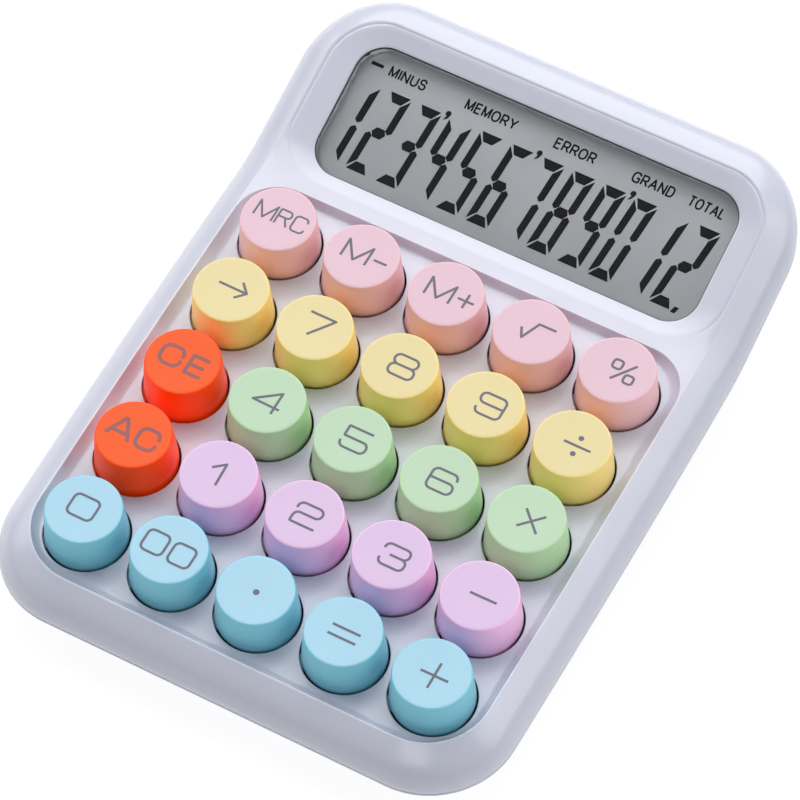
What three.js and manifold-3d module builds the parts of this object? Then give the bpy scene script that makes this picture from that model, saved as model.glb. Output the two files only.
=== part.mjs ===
// Desk calculator: a wedge-shaped two-piece case with a tilted display head, 25 round tapered keys
// on a silicone dome sheet, a segment display behind a clear window, and one AAA cell.
//
// Millimetres, +Z up, +X right, +Y from the user towards the display. The origin is on the desk,
// under the centre of the case. Most sizes are given in the deck frame: its origin is where the
// middle key's axis meets the key deck, its Z is the direction in which the keys travel.

import * as THREE from 'three';
import { mergeVertices } from 'three/addons/utils/BufferGeometryUtils.js';
import Module from 'manifold-3d';

const wasm = await Module();
wasm.setup();

// ---------------------------------------------------------------- driving dimensions
const GAP = 0.3;                       // air between neighbouring pieces
const WALL = 2.0;                      // case wall thickness

const DECK_TILT = THREE.MathUtils.degToRad(4);
const DECK_HEIGHT = 18.2;              // deck frame origin above the desk
const CASE_CENTRE_Y = 20.83;           // middle of the case's length, seen from the middle key

const HEAD_TILT = THREE.MathUtils.degToRad(18);   // display head, relative to the deck
const BEND_Y = 57.3;                   // where the head's plane leaves the deck's plane
const BEND_BLEND = 5;                  // half length of the rounded bend

const KEY_PITCH = 19.5;
const KEY_SIDES = 12;
const KEY = { topRadius: 7.85, height: 9.3, baseRadius: 8.55, holeRadius: 8.95 };
const LUG = { reach: 9.35, top: -WALL - GAP, thickness: 1.0, halfWidth: 1.8, count: 3 };
const STEM = { radius: 2.1, bottom: -3.6 };

const CREST_LEVEL = 2.2;               // soft ridge that runs round the whole top face
const PART_LEVEL = -5.7;               // widest line, where the two case halves meet
const SIDE_BOW = 0.0155;               // the long sides swell slightly in the middle
const OUTLINE = { halfWidth: 57.6, front: -57.75, back: 99.65, frontRadius: 18.4, backRadius: 19.4 };

const WINDOW = { halfWidth: 44.4, halfLength: 15.16, radius: 6.57, centreY: 73.12 };
const FOOT = { radius: 5.5, height: 1.2, sunk: 0.8, x: 42, frontY: -38, backY: 77 };

// ---------------------------------------------------------------- materials
function finish(color, roughness, metalness = 0) {
  return new THREE.MeshStandardMaterial({ color, roughness, metalness });
}
const caseWhite = finish(0xe9e8f0, 0.25);
const darkRubber = finish(0x3a3a3e, 0.8);
const siliconeGrey = finish(0xb9bcc4, 0.7);
const boardGreen = finish(0x1f6b45, 0.5);
const epoxyBlack = finish(0x131315, 0.35);
const plainWhite = finish(0xf2f2f2, 0.5);
const clearPlastic = finish(0xdfe6ea, 0.05);
const displayGrey = finish(0x969ea0, 0.2);
const flexAmber = finish(0xb98a3a, 0.4);
const steel = finish(0xc8ccd0, 0.3, 1);
const cellSleeve = finish(0x2f7d55, 0.35);
const wireRed = finish(0xc02a22, 0.5);
const wireBlack = finish(0x1c1c1e, 0.5);
const pink = finish(0xf5cddd, 0.45);
const yellow = finish(0xfaebb0, 0.45);
const orange = finish(0xff5a28, 0.45);
const mint = finish(0xc6ebc9, 0.45);
const lilac = finish(0xd9c2ea, 0.45);
const skyBlue = finish(0xaee1f5, 0.45);

const KEY_ROWS = [
  { names: ['mrc', 'm_minus', 'm_plus', 'sqrt', 'percent'], colours: [pink, pink, pink, pink, pink] },
  { names: ['arrow', '7', '8', '9', 'divide'], colours: [yellow, yellow, yellow, yellow, yellow] },
  { names: ['ce', '4', '5', '6', 'multiply'], colours: [orange, mint, mint, mint, mint] },
  { names: ['ac', '1', '2', '3', 'minus'], colours: [orange, lilac, lilac, lilac, lilac] },
  { names: ['0', '00', 'point', 'equals', 'plus'], colours: [skyBlue, skyBlue, skyBlue, skyBlue, skyBlue] },
];
const KEY_PLACES = KEY_ROWS.flatMap((row, r) => row.names.map((name, c) => ({
  name: `key_${name}`,
  colour: row.colours[c],
  x: (c - 2) * KEY_PITCH,
  y: (2 - r) * KEY_PITCH,
})));

// ---------------------------------------------------------------- frames
const deckMatrix = new THREE.Matrix4()
  .makeRotationX(DECK_TILT)
  .setPosition(0, -CASE_CENTRE_Y, DECK_HEIGHT);
const headMatrix = new THREE.Matrix4()
  .makeRotationX(HEAD_TILT)
  .setPosition(0, WINDOW.centreY, bend(WINDOW.centreY));

// Rise of the head above the deck's plane: nothing over the keys, then a rounded bend, then a slope.
function bend(y) {
  const past = y - BEND_Y;
  const slope = Math.tan(HEAD_TILT);
  if (past <= -BEND_BLEND) return 0;
  if (past >= BEND_BLEND) return slope * past;
  return (slope * (past + BEND_BLEND) ** 2) / (4 * BEND_BLEND);
}

// Deck-frame height of a plane that is level with the desk, at a place y along the deck.
function deskLevel(height, y) {
  return (height - DECK_HEIGHT - y * Math.sin(DECK_TILT)) / Math.cos(DECK_TILT);
}

// ---------------------------------------------------------------- solids
function solid(geometry) {
  const bare = geometry.clone();
  bare.deleteAttribute('normal');
  bare.deleteAttribute('uv');
  const merged = mergeVertices(bare, 1e-4);
  const all = merged.index.array;
  let corners = [];
  for (let i = 0; i < all.length; i += 3) {
    const [a, b, c] = [all[i], all[i + 1], all[i + 2]];
    if (a !== b && b !== c && c !== a) corners.push(a, b, c);
  }
  if (signedVolume(merged.attributes.position, corners) < 0) corners = corners.reverse();
  return new wasm.Manifold(new wasm.Mesh({
    numProp: 3,
    vertProperties: new Float32Array(merged.attributes.position.array),
    triVerts: new Uint32Array(corners),
  }));
}

function signedVolume(position, corners) {
  const [a, b, c] = [new THREE.Vector3(), new THREE.Vector3(), new THREE.Vector3()];
  let volume = 0;
  for (let i = 0; i < corners.length; i += 3) {
    a.fromBufferAttribute(position, corners[i]);
    b.fromBufferAttribute(position, corners[i + 1]);
    c.fromBufferAttribute(position, corners[i + 2]);
    volume += a.dot(b.cross(c)) / 6;
  }
  return volume;
}

function geometryOf(manifold) {
  const { vertProperties, triVerts, numProp } = manifold.getMesh();
  const place = new Float32Array((vertProperties.length / numProp) * 3);
  for (let i = 0; i < place.length / 3; i += 1) {
    place.set(vertProperties.subarray(i * numProp, i * numProp + 3), i * 3);
  }
  const geometry = new THREE.BufferGeometry();
  geometry.setAttribute('position', new THREE.BufferAttribute(place, 3));
  geometry.setIndex(new THREE.BufferAttribute(new Uint32Array(triVerts), 1));
  geometry.computeVertexNormals();
  return geometry;
}

function add(first, ...others) {
  return others.reduce((sum, other) => sum.add(other), first);
}

function cut(first, ...others) {
  return others.reduce((left, other) => left.subtract(other), first);
}

// An upright round bar between two heights.
function post(x, y, radius, bottom, top, sides = 16) {
  const bar = new THREE.CylinderGeometry(radius, radius, top - bottom, sides);
  return solid(bar.rotateX(Math.PI / 2).translate(x, y, (top + bottom) / 2));
}

// A box between two corners.
function block([x0, y0, z0], [x1, y1, z1]) {
  const box = new THREE.BoxGeometry(x1 - x0, y1 - y0, z1 - z0);
  return solid(box.translate((x0 + x1) / 2, (y0 + y1) / 2, (z0 + z1) / 2));
}

// A flat plate with rounded corners, centred on x = 0.
function plate(halfWidth, halfLength, radius, bottom, top, centreY = 0) {
  const outline = new THREE.Shape(
    ring({ halfWidth, front: -halfLength, back: halfLength, frontRadius: radius, backRadius: radius }),
  );
  const slab = new THREE.ExtrudeGeometry(outline, { depth: top - bottom, bevelEnabled: false });
  return solid(slab.translate(0, centreY, bottom));
}

// A solid of revolution about Z from a profile of [radius, height] pairs.
function turned(profile, sides) {
  const points = profile.map(([r, z]) => new THREE.Vector2(r, z));
  return solid(new THREE.LatheGeometry(points, sides).rotateX(Math.PI / 2));
}

// Closed outline with rounded corners, symmetric about x = 0: its right half runs from the middle of
// the front edge to the middle of the back edge, and its left half is the mirror image.
const CORNER_STEPS = 5;
const CORNER_SHRINK = 0.8;             // how fast the corners tighten from the widest line inwards
const SIDE_STATIONS = [15, 50, 52.3, 55.6, 59, 62.3, 70];
function ring({ halfWidth, front, back, frontRadius, backRadius, bow = 0 }) {
  const right = [[0, front]];
  const arc = (cy, radius, start) => {
    for (let i = 0; i <= CORNER_STEPS; i += 1) {
      const angle = start + (Math.PI / 2) * (i / CORNER_STEPS);
      right.push([halfWidth - radius + radius * Math.cos(angle), cy + radius * Math.sin(angle)]);
    }
  };
  arc(front + frontRadius, frontRadius, -Math.PI / 2);
  for (const y of SIDE_STATIONS) {
    if (y > front + frontRadius + 1 && y < back - backRadius - 1) right.push([halfWidth, y]);
  }
  arc(back - backRadius, backRadius, 0);
  right.push([0, back]);
  const middle = (OUTLINE.front + OUTLINE.back) / 2;
  const reach = (OUTLINE.back - OUTLINE.front) / 2;
  const bowed = right.map(([x, y]) => new THREE.Vector2(x * (1 - bow * ((y - middle) / reach) ** 2), y));
  const left = bowed.slice(1, -1).reverse().map((p) => new THREE.Vector2(-p.x, p.y));
  return [...bowed, ...left];
}

// Skin through a stack of matching rings, closed at both ends by strips that join mirrored points.
function loft(rings) {
  const count = rings[0].length;
  const half = count / 2;
  const faces = [];
  for (let k = 0; k + 1 < rings.length; k += 1) {
    for (let i = 0; i < count; i += 1) {
      const j = (i + 1) % count;
      const [a, b, c, d] = [k * count + i, k * count + j, (k + 1) * count + j, (k + 1) * count + i];
      faces.push(a, b, c, a, c, d);
    }
  }
  const close = (base, flip) => {
    for (let i = 0; i < half; i += 1) {
      const [a, b] = [base + i, base + i + 1];
      const [c, d] = [base + ((count - i - 1) % count), base + ((count - i) % count)];
      for (const [p, q, r] of [[a, b, c], [a, c, d]]) {
        if (p !== q && q !== r && r !== p) faces.push(...(flip ? [p, r, q] : [p, q, r]));
      }
    }
  };
  close(0, true);
  close((rings.length - 1) * count, false);
  const geometry = new THREE.BufferGeometry().setFromPoints(rings.flat());
  geometry.setIndex(faces);
  return geometry;
}

// A ring of the case's outline, moved inwards and laid at one level of the bent body.
function caseRing(inset, level) {
  const { halfWidth, front, back, frontRadius, backRadius } = OUTLINE;
  const outline = ring({
    halfWidth: halfWidth - inset,
    front: front + inset,
    back: back - inset,
    frontRadius: frontRadius - inset * CORNER_SHRINK,
    backRadius: backRadius - inset * CORNER_SHRINK,
    bow: SIDE_BOW,
  });
  return outline.map(({ x, y }) => new THREE.Vector3(x, y, level + bend(y)));
}

// The same ring dropped onto a plane that is level with the desk.
function floorRing(inset, height) {
  return caseRing(inset, 0).map(({ x, y }) => new THREE.Vector3(x, y, deskLevel(height, y)));
}

function bentRing(outline, level) {
  return ring(outline).map(({ x, y }) => new THREE.Vector3(x, y, level + bend(y)));
}

// ---------------------------------------------------------------- fastener places
const CASE_SCREWS = [
  { name: 'front', x: 29.25, y: -29.25 },
  { name: 'middle', x: 29.25, y: 9.75 },
  { name: 'rear', x: 44, y: 52.3 },
];
const CASE_SCREW = { headRadius: 2.4, headHeight: 1.5, shank: 1.2, length: 7, seat: -10.3 };
const BOARD_SCREW = { headRadius: 2.0, headHeight: 1.2, shank: 0.9, length: 5 };
const BOARD_BOSS = { x: 9.75, y: 29.25, radius: 2.2 };
const HOLDER_BOSS = { x: 25, y: -21.6, radius: 2.2 };
const BOSS_MEET = -7.0;                // level where the upper and lower screw posts meet
const POST_RADIUS = 4.0;
const BOARD = { halfWidth: 48, front: -44.5, back: 49.5, top: -7.7, thickness: 1.6 };
const SHEET = { halfWidth: 46, front: -44.5, back: 45.5, top: -6.6, thickness: 0.8 };

const twoSides = [['left', -1], ['right', 1]];

function onBothSides(places, make) {
  return places.flatMap((place) => twoSides.map(([, side]) => make(side * place.x, place.y)));
}

// ---------------------------------------------------------------- case
function makeTopCase() {
  const outer = solid(loft([
    caseRing(0, PART_LEVEL),
    caseRing(0.55, PART_LEVEL + 2.9),
    caseRing(2.2, PART_LEVEL + 5.5),
    caseRing(4.3, PART_LEVEL + 7.2),
    caseRing(6.2, CREST_LEVEL),
  ]));
  const inner = solid(loft([
    caseRing(WALL, PART_LEVEL - 2),
    caseRing(WALL + 0.8, PART_LEVEL + 1.9),
    caseRing(WALL + 4.6, -WALL),
  ]));
  const reach = 3;                     // how far the cutting bodies stand past the crest
  const floor = { halfWidth: 48.6, front: -48.9, back: 49.1, frontRadius: 11.2, backRadius: 8.6 };
  const mouth = { halfWidth: 51.0, front: -51.2, back: 49.7, frontRadius: 13.4, backRadius: 9.4 };
  const recess = solid(loft([
    bentRing(floor, 0),
    bentRing(mouth, CREST_LEVEL + 0.1),
    bentRing(mouth, CREST_LEVEL + reach),
  ]));
  const lip = {
    halfWidth: WINDOW.halfWidth + 0.3, front: 58.3, back: 87.9, frontRadius: 6.9, backRadius: 6.9,
  };
  const frame = { halfWidth: 50.2, front: 53.9, back: 91.2, frontRadius: 11.8, backRadius: 11.8 };
  const dish = solid(loft([
    bentRing(lip, 0),
    bentRing(frame, CREST_LEVEL + 0.1),
    bentRing(frame, CREST_LEVEL + reach),
  ]));
  const window = plate(WINDOW.halfWidth, WINDOW.halfLength, WINDOW.radius, -6, 6)
    .transform(headMatrix.elements);
  const holes = KEY_PLACES.map(({ x, y }) => post(x, y, KEY.holeRadius, -4, 3, KEY_SIDES));
  const shell = cut(outer, inner, recess, dish, window, ...holes);

  const caseBosses = onBothSides(CASE_SCREWS, (x, y) => post(x, y, 2.6, BOSS_MEET, -WALL / 2, 8));
  const boardTop = BOARD.top + GAP;
  const boardBosses = [-1, 1].flatMap((side) => onBothSides(
    [{ x: BOARD_BOSS.x, y: side * BOARD_BOSS.y }],
    (x, y) => post(x, y, BOARD_BOSS.radius, boardTop, -WALL / 2, 8),
  ));
  const holderBosses = onBothSides([HOLDER_BOSS], (x, y) => (
    post(x, y, HOLDER_BOSS.radius, EAR.top + GAP, 0.5, 8).transform(headMatrix.elements)
  ));
  const casePilots = onBothSides(CASE_SCREWS, (x, y) => (
    post(x, y, CASE_SCREW.shank + GAP, BOSS_MEET - 1, CASE_SCREW.seat + CASE_SCREW.length + GAP, 6)
  ));
  const boardPilots = [-1, 1].flatMap((side) => onBothSides(
    [{ x: BOARD_BOSS.x, y: side * BOARD_BOSS.y }],
    (x, y) => post(x, y, BOARD_SCREW.shank + GAP, boardTop - 1, boardTop + 4, 6),
  ));
  const holderPilots = onBothSides([HOLDER_BOSS], (x, y) => (
    post(x, y, BOARD_SCREW.shank + GAP, -5, -1.2, 6).transform(headMatrix.elements)
  ));
  return cut(
    add(shell, ...caseBosses, ...boardBosses, ...holderBosses),
    ...casePilots, ...boardPilots, ...holderPilots,
  );
}

// The battery bay, in the origin's frame: a box that opens downwards behind the door.
const BAY = { halfWidth: 25, front: 50, back: 66, roof: 16, wall: 1.6 };
const CONTACT = { thickness: 0.5, tabHalfWidth: 1.5, tabReach: 2.0 };
const CELL = { radius: 5.25, halfLength: 22.25, y: 58, z: 10.1, nubRadius: 1.9, nubLength: 0.9 };
CELL.x = BAY.halfWidth - 2 * GAP - CONTACT.thickness - CELL.halfLength;
const DOOR = { halfWidth: 28, front: 46.5, thickness: 2.0, bottom: FOOT.height };
const DOOR_TAB = { x: 18, halfWidth: 4, reach: 4, thickness: 1.0 };

function makeBottomCase() {
  const low = FOOT.height;
  const outer = solid(loft([
    floorRing(8.2, low),
    caseRing(6.2, PART_LEVEL - 7.0),
    caseRing(3.0, PART_LEVEL - 5.6),
    caseRing(1.4, PART_LEVEL - 3.0),
    caseRing(0, PART_LEVEL - GAP),
  ]).applyMatrix4(deckMatrix));
  const inner = solid(loft([
    floorRing(8.2 + WALL, low + WALL),
    caseRing(6.2 + WALL, PART_LEVEL - 5.4),
    caseRing(3.6 + WALL, PART_LEVEL - 4.2),
    caseRing(1.6 + WALL, PART_LEVEL - 2.2),
    caseRing(WALL, PART_LEVEL + 2),
  ]).applyMatrix4(deckMatrix));
  const throughDeck = (manifold) => manifold.transform(deckMatrix.elements);
  const posts = onBothSides(CASE_SCREWS, (x, y) => (
    throughDeck(post(x, y, POST_RADIUS, deskLevel(low + 1, y), BOSS_MEET - GAP, 10))
  ));
  const { halfWidth, front, back, roof, wall } = BAY;
  const bayBox = block(
    [-halfWidth - wall, front - wall, low + 1],
    [halfWidth + wall, back + wall, roof + wall],
  );
  const ledge = block(
    [-DOOR.halfWidth - 4, DOOR.front - DOOR_TAB.reach - 3, low + WALL - 0.4],
    [DOOR.halfWidth + 4, back, low + WALL + 3],
  );
  const bayHollow = block([-halfWidth, front, -1], [halfWidth, back, roof]);
  const doorway = block(
    [-DOOR.halfWidth - GAP, DOOR.front - GAP, -1],
    [DOOR.halfWidth + GAP, 90, DOOR.bottom + DOOR.thickness + GAP],
  );
  const { x: tabX, halfWidth: tabHalf, reach: tabReach, thickness: tabThickness } = DOOR_TAB;
  const tabSlots = twoSides.map(([, side]) => block(
    [side * tabX - tabHalf - GAP, DOOR.front - tabReach - GAP, low + WALL - 0.01],
    [side * tabX + tabHalf + GAP, front + 1, low + WALL + tabThickness + 2 * GAP],
  ));
  const contactSlots = twoSides.map(([, side]) => block(
    [side * (halfWidth + wall / 2) - wall, CELL.y - CONTACT.tabHalfWidth - GAP, CELL.z + 4.5 - GAP],
    [side * (halfWidth + wall / 2) + wall, CELL.y + CONTACT.tabHalfWidth + GAP, CELL.z + 5 + GAP],
  ));
  const throughHoles = onBothSides(CASE_SCREWS, (x, y) => (
    throughDeck(post(x, y, CASE_SCREW.shank + GAP, CASE_SCREW.seat - 1, BOSS_MEET + 1, 6))
  ));
  const counterbores = onBothSides(CASE_SCREWS, (x, y) => (
    throughDeck(post(x, y, CASE_SCREW.headRadius + 0.4, deskLevel(-3, y), CASE_SCREW.seat, 10))
  ));
  const footSeats = [FOOT.frontY, FOOT.backY].flatMap((y) => [-1, 1].map((side) => (
    post(side * FOOT.x, y - CASE_CENTRE_Y, FOOT.radius + GAP, -1, low + FOOT.sunk + GAP, 14)
  )));
  return cut(
    add(cut(outer, inner), ...posts, ledge, bayBox),
    bayHollow, doorway, ...tabSlots, ...contactSlots, ...throughHoles, ...counterbores, ...footSeats,
  );
}

function makeBatteryDoor() {
  const { halfWidth, front, thickness, bottom } = DOOR;
  const outer = solid(loft([
    floorRing(8.2, bottom),
    floorRing(8.1, bottom + thickness),
  ]).applyMatrix4(deckMatrix));
  const panel = outer.intersect(block([-halfWidth, front, 0], [halfWidth, 90, 10]));
  const top = bottom + thickness;
  const { x, halfWidth: tabHalf, reach, thickness: tabThickness } = DOOR_TAB;
  const tabTop = top + GAP + tabThickness;
  const tabs = twoSides.map(([, side]) => add(
    block([side * x - tabHalf, front, top - 0.5], [side * x + tabHalf, front + 2, tabTop]),
    block([side * x - tabHalf, front - reach, top + GAP], [side * x + tabHalf, front + 0.5, tabTop]),
  ));
  return add(panel, ...tabs);
}

// ---------------------------------------------------------------- keys
// A hollow tapered cap with a stem, held under the deck by three lugs at the foot of its skirt.
function makeKeyCap() {
  const { topRadius, height, baseRadius } = KEY;
  const bottom = LUG.top - LUG.thickness;
  const hollowTop = height - 1.7;
  const body = turned([
    [0, height],
    [topRadius, height],
    [baseRadius, LUG.top],
    [baseRadius, bottom],
    [baseRadius - 1.5, bottom],
    [topRadius - 1.4, hollowTop],
    [STEM.radius + 0.2, hollowTop],
    [STEM.radius, STEM.bottom],
    [0, STEM.bottom],
  ], KEY_SIDES);
  const root = baseRadius - 1;
  const lugs = Array.from({ length: LUG.count }, (_, i) => {
    const lug = new THREE.BoxGeometry(2 * LUG.halfWidth, LUG.reach - root, LUG.thickness);
    lug.translate(0, (LUG.reach + root) / 2, LUG.top - LUG.thickness / 2);
    return solid(lug.rotateZ((2 * Math.PI * i) / LUG.count));
  });
  return add(body, ...lugs);
}

function makeDomeSheet() {
  const { halfWidth, front, back, top, thickness } = SHEET;
  const sheet = block([-halfWidth, front, top - thickness], [halfWidth, back, top]);
  const domeTop = STEM.bottom - GAP;
  const dome = turned([[0, domeTop], [2.4, domeTop], [4.4, top - 0.2], [0, top - 0.2]], 8);
  const hollow = turned([
    [0, domeTop - 0.9],
    [1.7, domeTop - 0.9],
    [3.7, top - thickness - 1],
    [0, top - thickness - 1],
  ], 8);
  const holes = onBothSides(CASE_SCREWS, (x, y) => post(x, y, POST_RADIUS + 0.6, -9, -5, 10));
  const bossHoles = [-1, 1].flatMap((side) => onBothSides(
    [{ x: BOARD_BOSS.x, y: side * BOARD_BOSS.y }],
    (x, y) => post(x, y, BOARD_BOSS.radius + 0.5, -9, -5, 8),
  ));
  const domes = KEY_PLACES.map(({ x, y }) => dome.translate([x, y, 0]));
  const hollows = KEY_PLACES.map(({ x, y }) => hollow.translate([x, y, 0]));
  return cut(add(sheet, ...domes), ...hollows, ...holes, ...bossHoles);
}

// ---------------------------------------------------------------- board
function makeBoard() {
  const { halfWidth, front, back, top, thickness } = BOARD;
  const slab = block([-halfWidth, front, top - thickness], [halfWidth, back, top]);
  const postHoles = onBothSides(CASE_SCREWS, (x, y) => post(x, y, POST_RADIUS + 0.5, -12, -5, 10));
  const screwHoles = [-1, 1].flatMap((side) => onBothSides(
    [{ x: BOARD_BOSS.x, y: side * BOARD_BOSS.y }],
    (x, y) => post(x, y, BOARD_SCREW.shank + GAP, -12, -5, 6),
  ));
  return cut(slab, ...postHoles, ...screwHoles);
}

function makeScrew({ headRadius, headHeight, shank, length }) {
  return turned([
    [0, -headHeight],
    [headRadius, -headHeight],
    [headRadius, 0],
    [shank, 0],
    [shank, length - 1],
    [0, length],
  ], 8);
}

// A blob of potting resin over the controller die, on the underside of the board.
function makeChip() {
  const base = BOARD.top - BOARD.thickness - GAP;
  return turned([[0, base], [7, base], [6, base - 1], [3, base - 1.5], [0, base - 1.5]], 12);
}

// ---------------------------------------------------------------- display, in the head frame
const LENS = { halfWidth: 45.9, halfLength: 16.6, radius: 1.5, top: -WALL - GAP, thickness: 1.0 };
const GLASS = { halfWidth: 45.6, halfLength: 16.3, top: LENS.top - LENS.thickness - GAP, thickness: 2.0 };
const HOLDER = { halfWidth: 48, halfLength: 18.2, radius: 5.5, top: LENS.top, bottom: -7.4 };
const EAR = { halfWidth: 3, top: -4.9, thickness: 1.4 };

function makeHolder() {
  const body = plate(HOLDER.halfWidth, HOLDER.halfLength, HOLDER.radius, HOLDER.bottom, HOLDER.top);
  const pocketFloor = GLASS.top - GLASS.thickness - GAP;
  const pocket = plate(LENS.halfWidth + GAP, LENS.halfLength + GAP, LENS.radius, pocketFloor, 0);
  const flexSlot = block(
    [-FLEX.halfWidth - 0.5, -HOLDER.halfLength - 1, HOLDER.bottom + 1],
    [FLEX.halfWidth + 0.5, -GLASS.halfLength, HOLDER.top + 1],
  );
  const ears = twoSides.map(([, side]) => block(
    [side * HOLDER_BOSS.x - EAR.halfWidth, HOLDER_BOSS.y - 2.6, EAR.top - EAR.thickness],
    [side * HOLDER_BOSS.x + EAR.halfWidth, -HOLDER.halfLength + 1, EAR.top],
  ));
  const holes = onBothSides([HOLDER_BOSS], (x, y) => post(x, y, BOARD_SCREW.shank + GAP, -9, 0, 6));
  return cut(add(cut(body, pocket, flexSlot), ...ears), ...holes);
}

// Flexible ribbon from the lower edge of the display glass down to the back edge of the board.
const FLEX = { halfWidth: 18, thickness: 0.3 };
function makeFlex() {
  const start = new THREE.Vector3(0, -GLASS.halfLength - GAP, GLASS.top - 1).applyMatrix4(headMatrix);
  const end = { y: BOARD.back + GAP, z: BOARD.top - BOARD.thickness / 2 };
  const curve = new THREE.CubicBezierCurve(
    new THREE.Vector2(start.y, start.z),
    new THREE.Vector2(start.y - 2.2, start.z - 1),
    new THREE.Vector2(end.y + 2.6, end.z + 1),
    new THREE.Vector2(end.y, end.z),
  );
  const steps = 8;
  const side = (offset) => Array.from({ length: steps + 1 }, (_, i) => {
    const p = curve.getPoint(i / steps);
    const t = curve.getTangent(i / steps);
    return new THREE.Vector2(p.x - t.y * offset, p.y + t.x * offset);
  });
  const outline = [...side(FLEX.thickness / 2), ...side(-FLEX.thickness / 2).reverse()];
  const strip = new THREE.ExtrudeGeometry(new THREE.Shape(outline), {
    depth: 2 * FLEX.halfWidth,
    bevelEnabled: false,
  });
  // The outline's axes are the deck's Y and Z, and the strip's depth runs along X.
  const turn = new THREE.Matrix4().makeBasis(
    new THREE.Vector3(0, 1, 0),
    new THREE.Vector3(0, 0, 1),
    new THREE.Vector3(1, 0, 0),
  );
  return solid(strip.applyMatrix4(turn).translate(-FLEX.halfWidth, 0, 0));
}

// ---------------------------------------------------------------- battery
function makeCell() {
  const { radius, halfLength, nubRadius, nubLength } = CELL;
  const shoulder = halfLength - nubLength;
  return turned([
    [0, -halfLength],
    [radius, -halfLength],
    [radius, shoulder],
    [nubRadius, shoulder],
    [nubRadius, halfLength],
    [0, halfLength],
  ], 14);
}

// One end's metal contact: a plate against the bay's end wall and a solder tab through the wall.
function makeContactPlate(side) {
  const { thickness, tabHalfWidth, tabReach } = CONTACT;
  const inside = BAY.halfWidth - GAP - thickness;
  const outside = BAY.halfWidth + BAY.wall + tabReach;
  const spanX = (a, b) => [Math.min(side * a, side * b), Math.max(side * a, side * b)];
  const [p0, p1] = spanX(inside, inside + thickness);
  const [t0, t1] = spanX(inside, outside);
  return add(
    block([p0, CELL.y - 4.5, CELL.z - 4.5], [p1, CELL.y + 4.5, CELL.z + 5]),
    block([t0, CELL.y - tabHalfWidth, CELL.z + 4.5], [t1, CELL.y + tabHalfWidth, CELL.z + 5]),
  );
}

class CoilCurve extends THREE.Curve {
  constructor(length, turns, startRadius, endRadius) {
    super();
    Object.assign(this, { length, turns, startRadius, endRadius });
  }

  getPoint(t, target = new THREE.Vector3()) {
    const angle = t * this.turns * 2 * Math.PI;
    const radius = THREE.MathUtils.lerp(this.startRadius, this.endRadius, t);
    return target.set(t * this.length, radius * Math.cos(angle), radius * Math.sin(angle));
  }
}

// A round wire of the given radius along a curve.
function wire(curve, radius, steps, sides = 6) {
  const section = new THREE.Shape(
    Array.from({ length: sides }, (_, i) => {
      const angle = (2 * Math.PI * i) / sides;
      return new THREE.Vector2(radius * Math.cos(angle), radius * Math.sin(angle));
    }),
  );
  return solid(new THREE.ExtrudeGeometry(section, { extrudePath: curve, steps, bevelEnabled: false }));
}

function makeContactSpring() {
  const plateFace = -BAY.halfWidth + GAP + CONTACT.thickness;
  const room = CELL.x - CELL.halfLength - plateFace - GAP;
  const coil = wire(new CoilCurve(room - 0.35, 2.5, 3.6, 2.0), 0.35, 20, 5);
  return add(makeContactPlate(-1), coil.translate([plateFace + 0.2, CELL.y, CELL.z]));
}

// Leads run from the solder tabs, past the bay, to the underside of the board.
function makeLead(side) {
  const tabEnd = BAY.halfWidth + BAY.wall + CONTACT.tabReach;
  const boardBelow = new THREE.Vector3(side * 15, BOARD.back - 6, BOARD.top - BOARD.thickness - 1.2)
    .applyMatrix4(deckMatrix);
  const points = [
    new THREE.Vector3(side * (tabEnd + 1), CELL.y, CELL.z + 4.75),
    new THREE.Vector3(side * (tabEnd + 1.4), CELL.y - 7, CELL.z + 3),
    new THREE.Vector3(side * (tabEnd - 2), CELL.y - 17, CELL.z - 0.5),
    new THREE.Vector3(boardBelow.x + side * 3, boardBelow.y + 7, boardBelow.z - 3.2),
    boardBelow,
  ];
  return wire(new THREE.CatmullRomCurve3(points), 0.6, 14);
}

function makeFoot() {
  const { radius, height, sunk } = FOOT;
  return turned([
    [0, 0],
    [radius - 0.5, 0],
    [radius, 0.5],
    [radius, height + sunk],
    [0, height + sunk],
  ], 14);
}

// ---------------------------------------------------------------- assembly
const calculator = new THREE.Group();
const deck = new THREE.Group();
const head = new THREE.Group();
deck.applyMatrix4(deckMatrix);
head.applyMatrix4(headMatrix);
deck.add(head);
calculator.add(deck);

function place(group, name, manifold, material, position = [0, 0, 0]) {
  const mesh = new THREE.Mesh(geometryOf(manifold), material);
  mesh.name = name;
  mesh.position.set(...position);
  group.add(mesh);
  return mesh;
}

place(deck, 'top_case', makeTopCase(), caseWhite);
place(calculator, 'bottom_case', makeBottomCase(), caseWhite);
place(calculator, 'battery_door', makeBatteryDoor(), caseWhite);

const cap = makeKeyCap();
for (const { name, colour, x, y } of KEY_PLACES) place(deck, name, cap, colour, [x, y, 0]);

place(deck, 'dome_sheet', makeDomeSheet(), siliconeGrey);
place(deck, 'main_board', makeBoard(), boardGreen);
place(deck, 'controller_chip', makeChip(), epoxyBlack, [0, -10, 0]);

const lensBottom = LENS.top - LENS.thickness;
place(
  head,
  'display_window',
  plate(LENS.halfWidth, LENS.halfLength, LENS.radius, lensBottom, LENS.top),
  clearPlastic,
);
place(head, 'lcd_glass', block(
  [-GLASS.halfWidth, -GLASS.halfLength, GLASS.top - GLASS.thickness],
  [GLASS.halfWidth, GLASS.halfLength, GLASS.top],
), displayGrey);
place(head, 'lcd_holder', makeHolder(), plainWhite);
place(deck, 'lcd_ribbon', makeFlex(), flexAmber);

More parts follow.
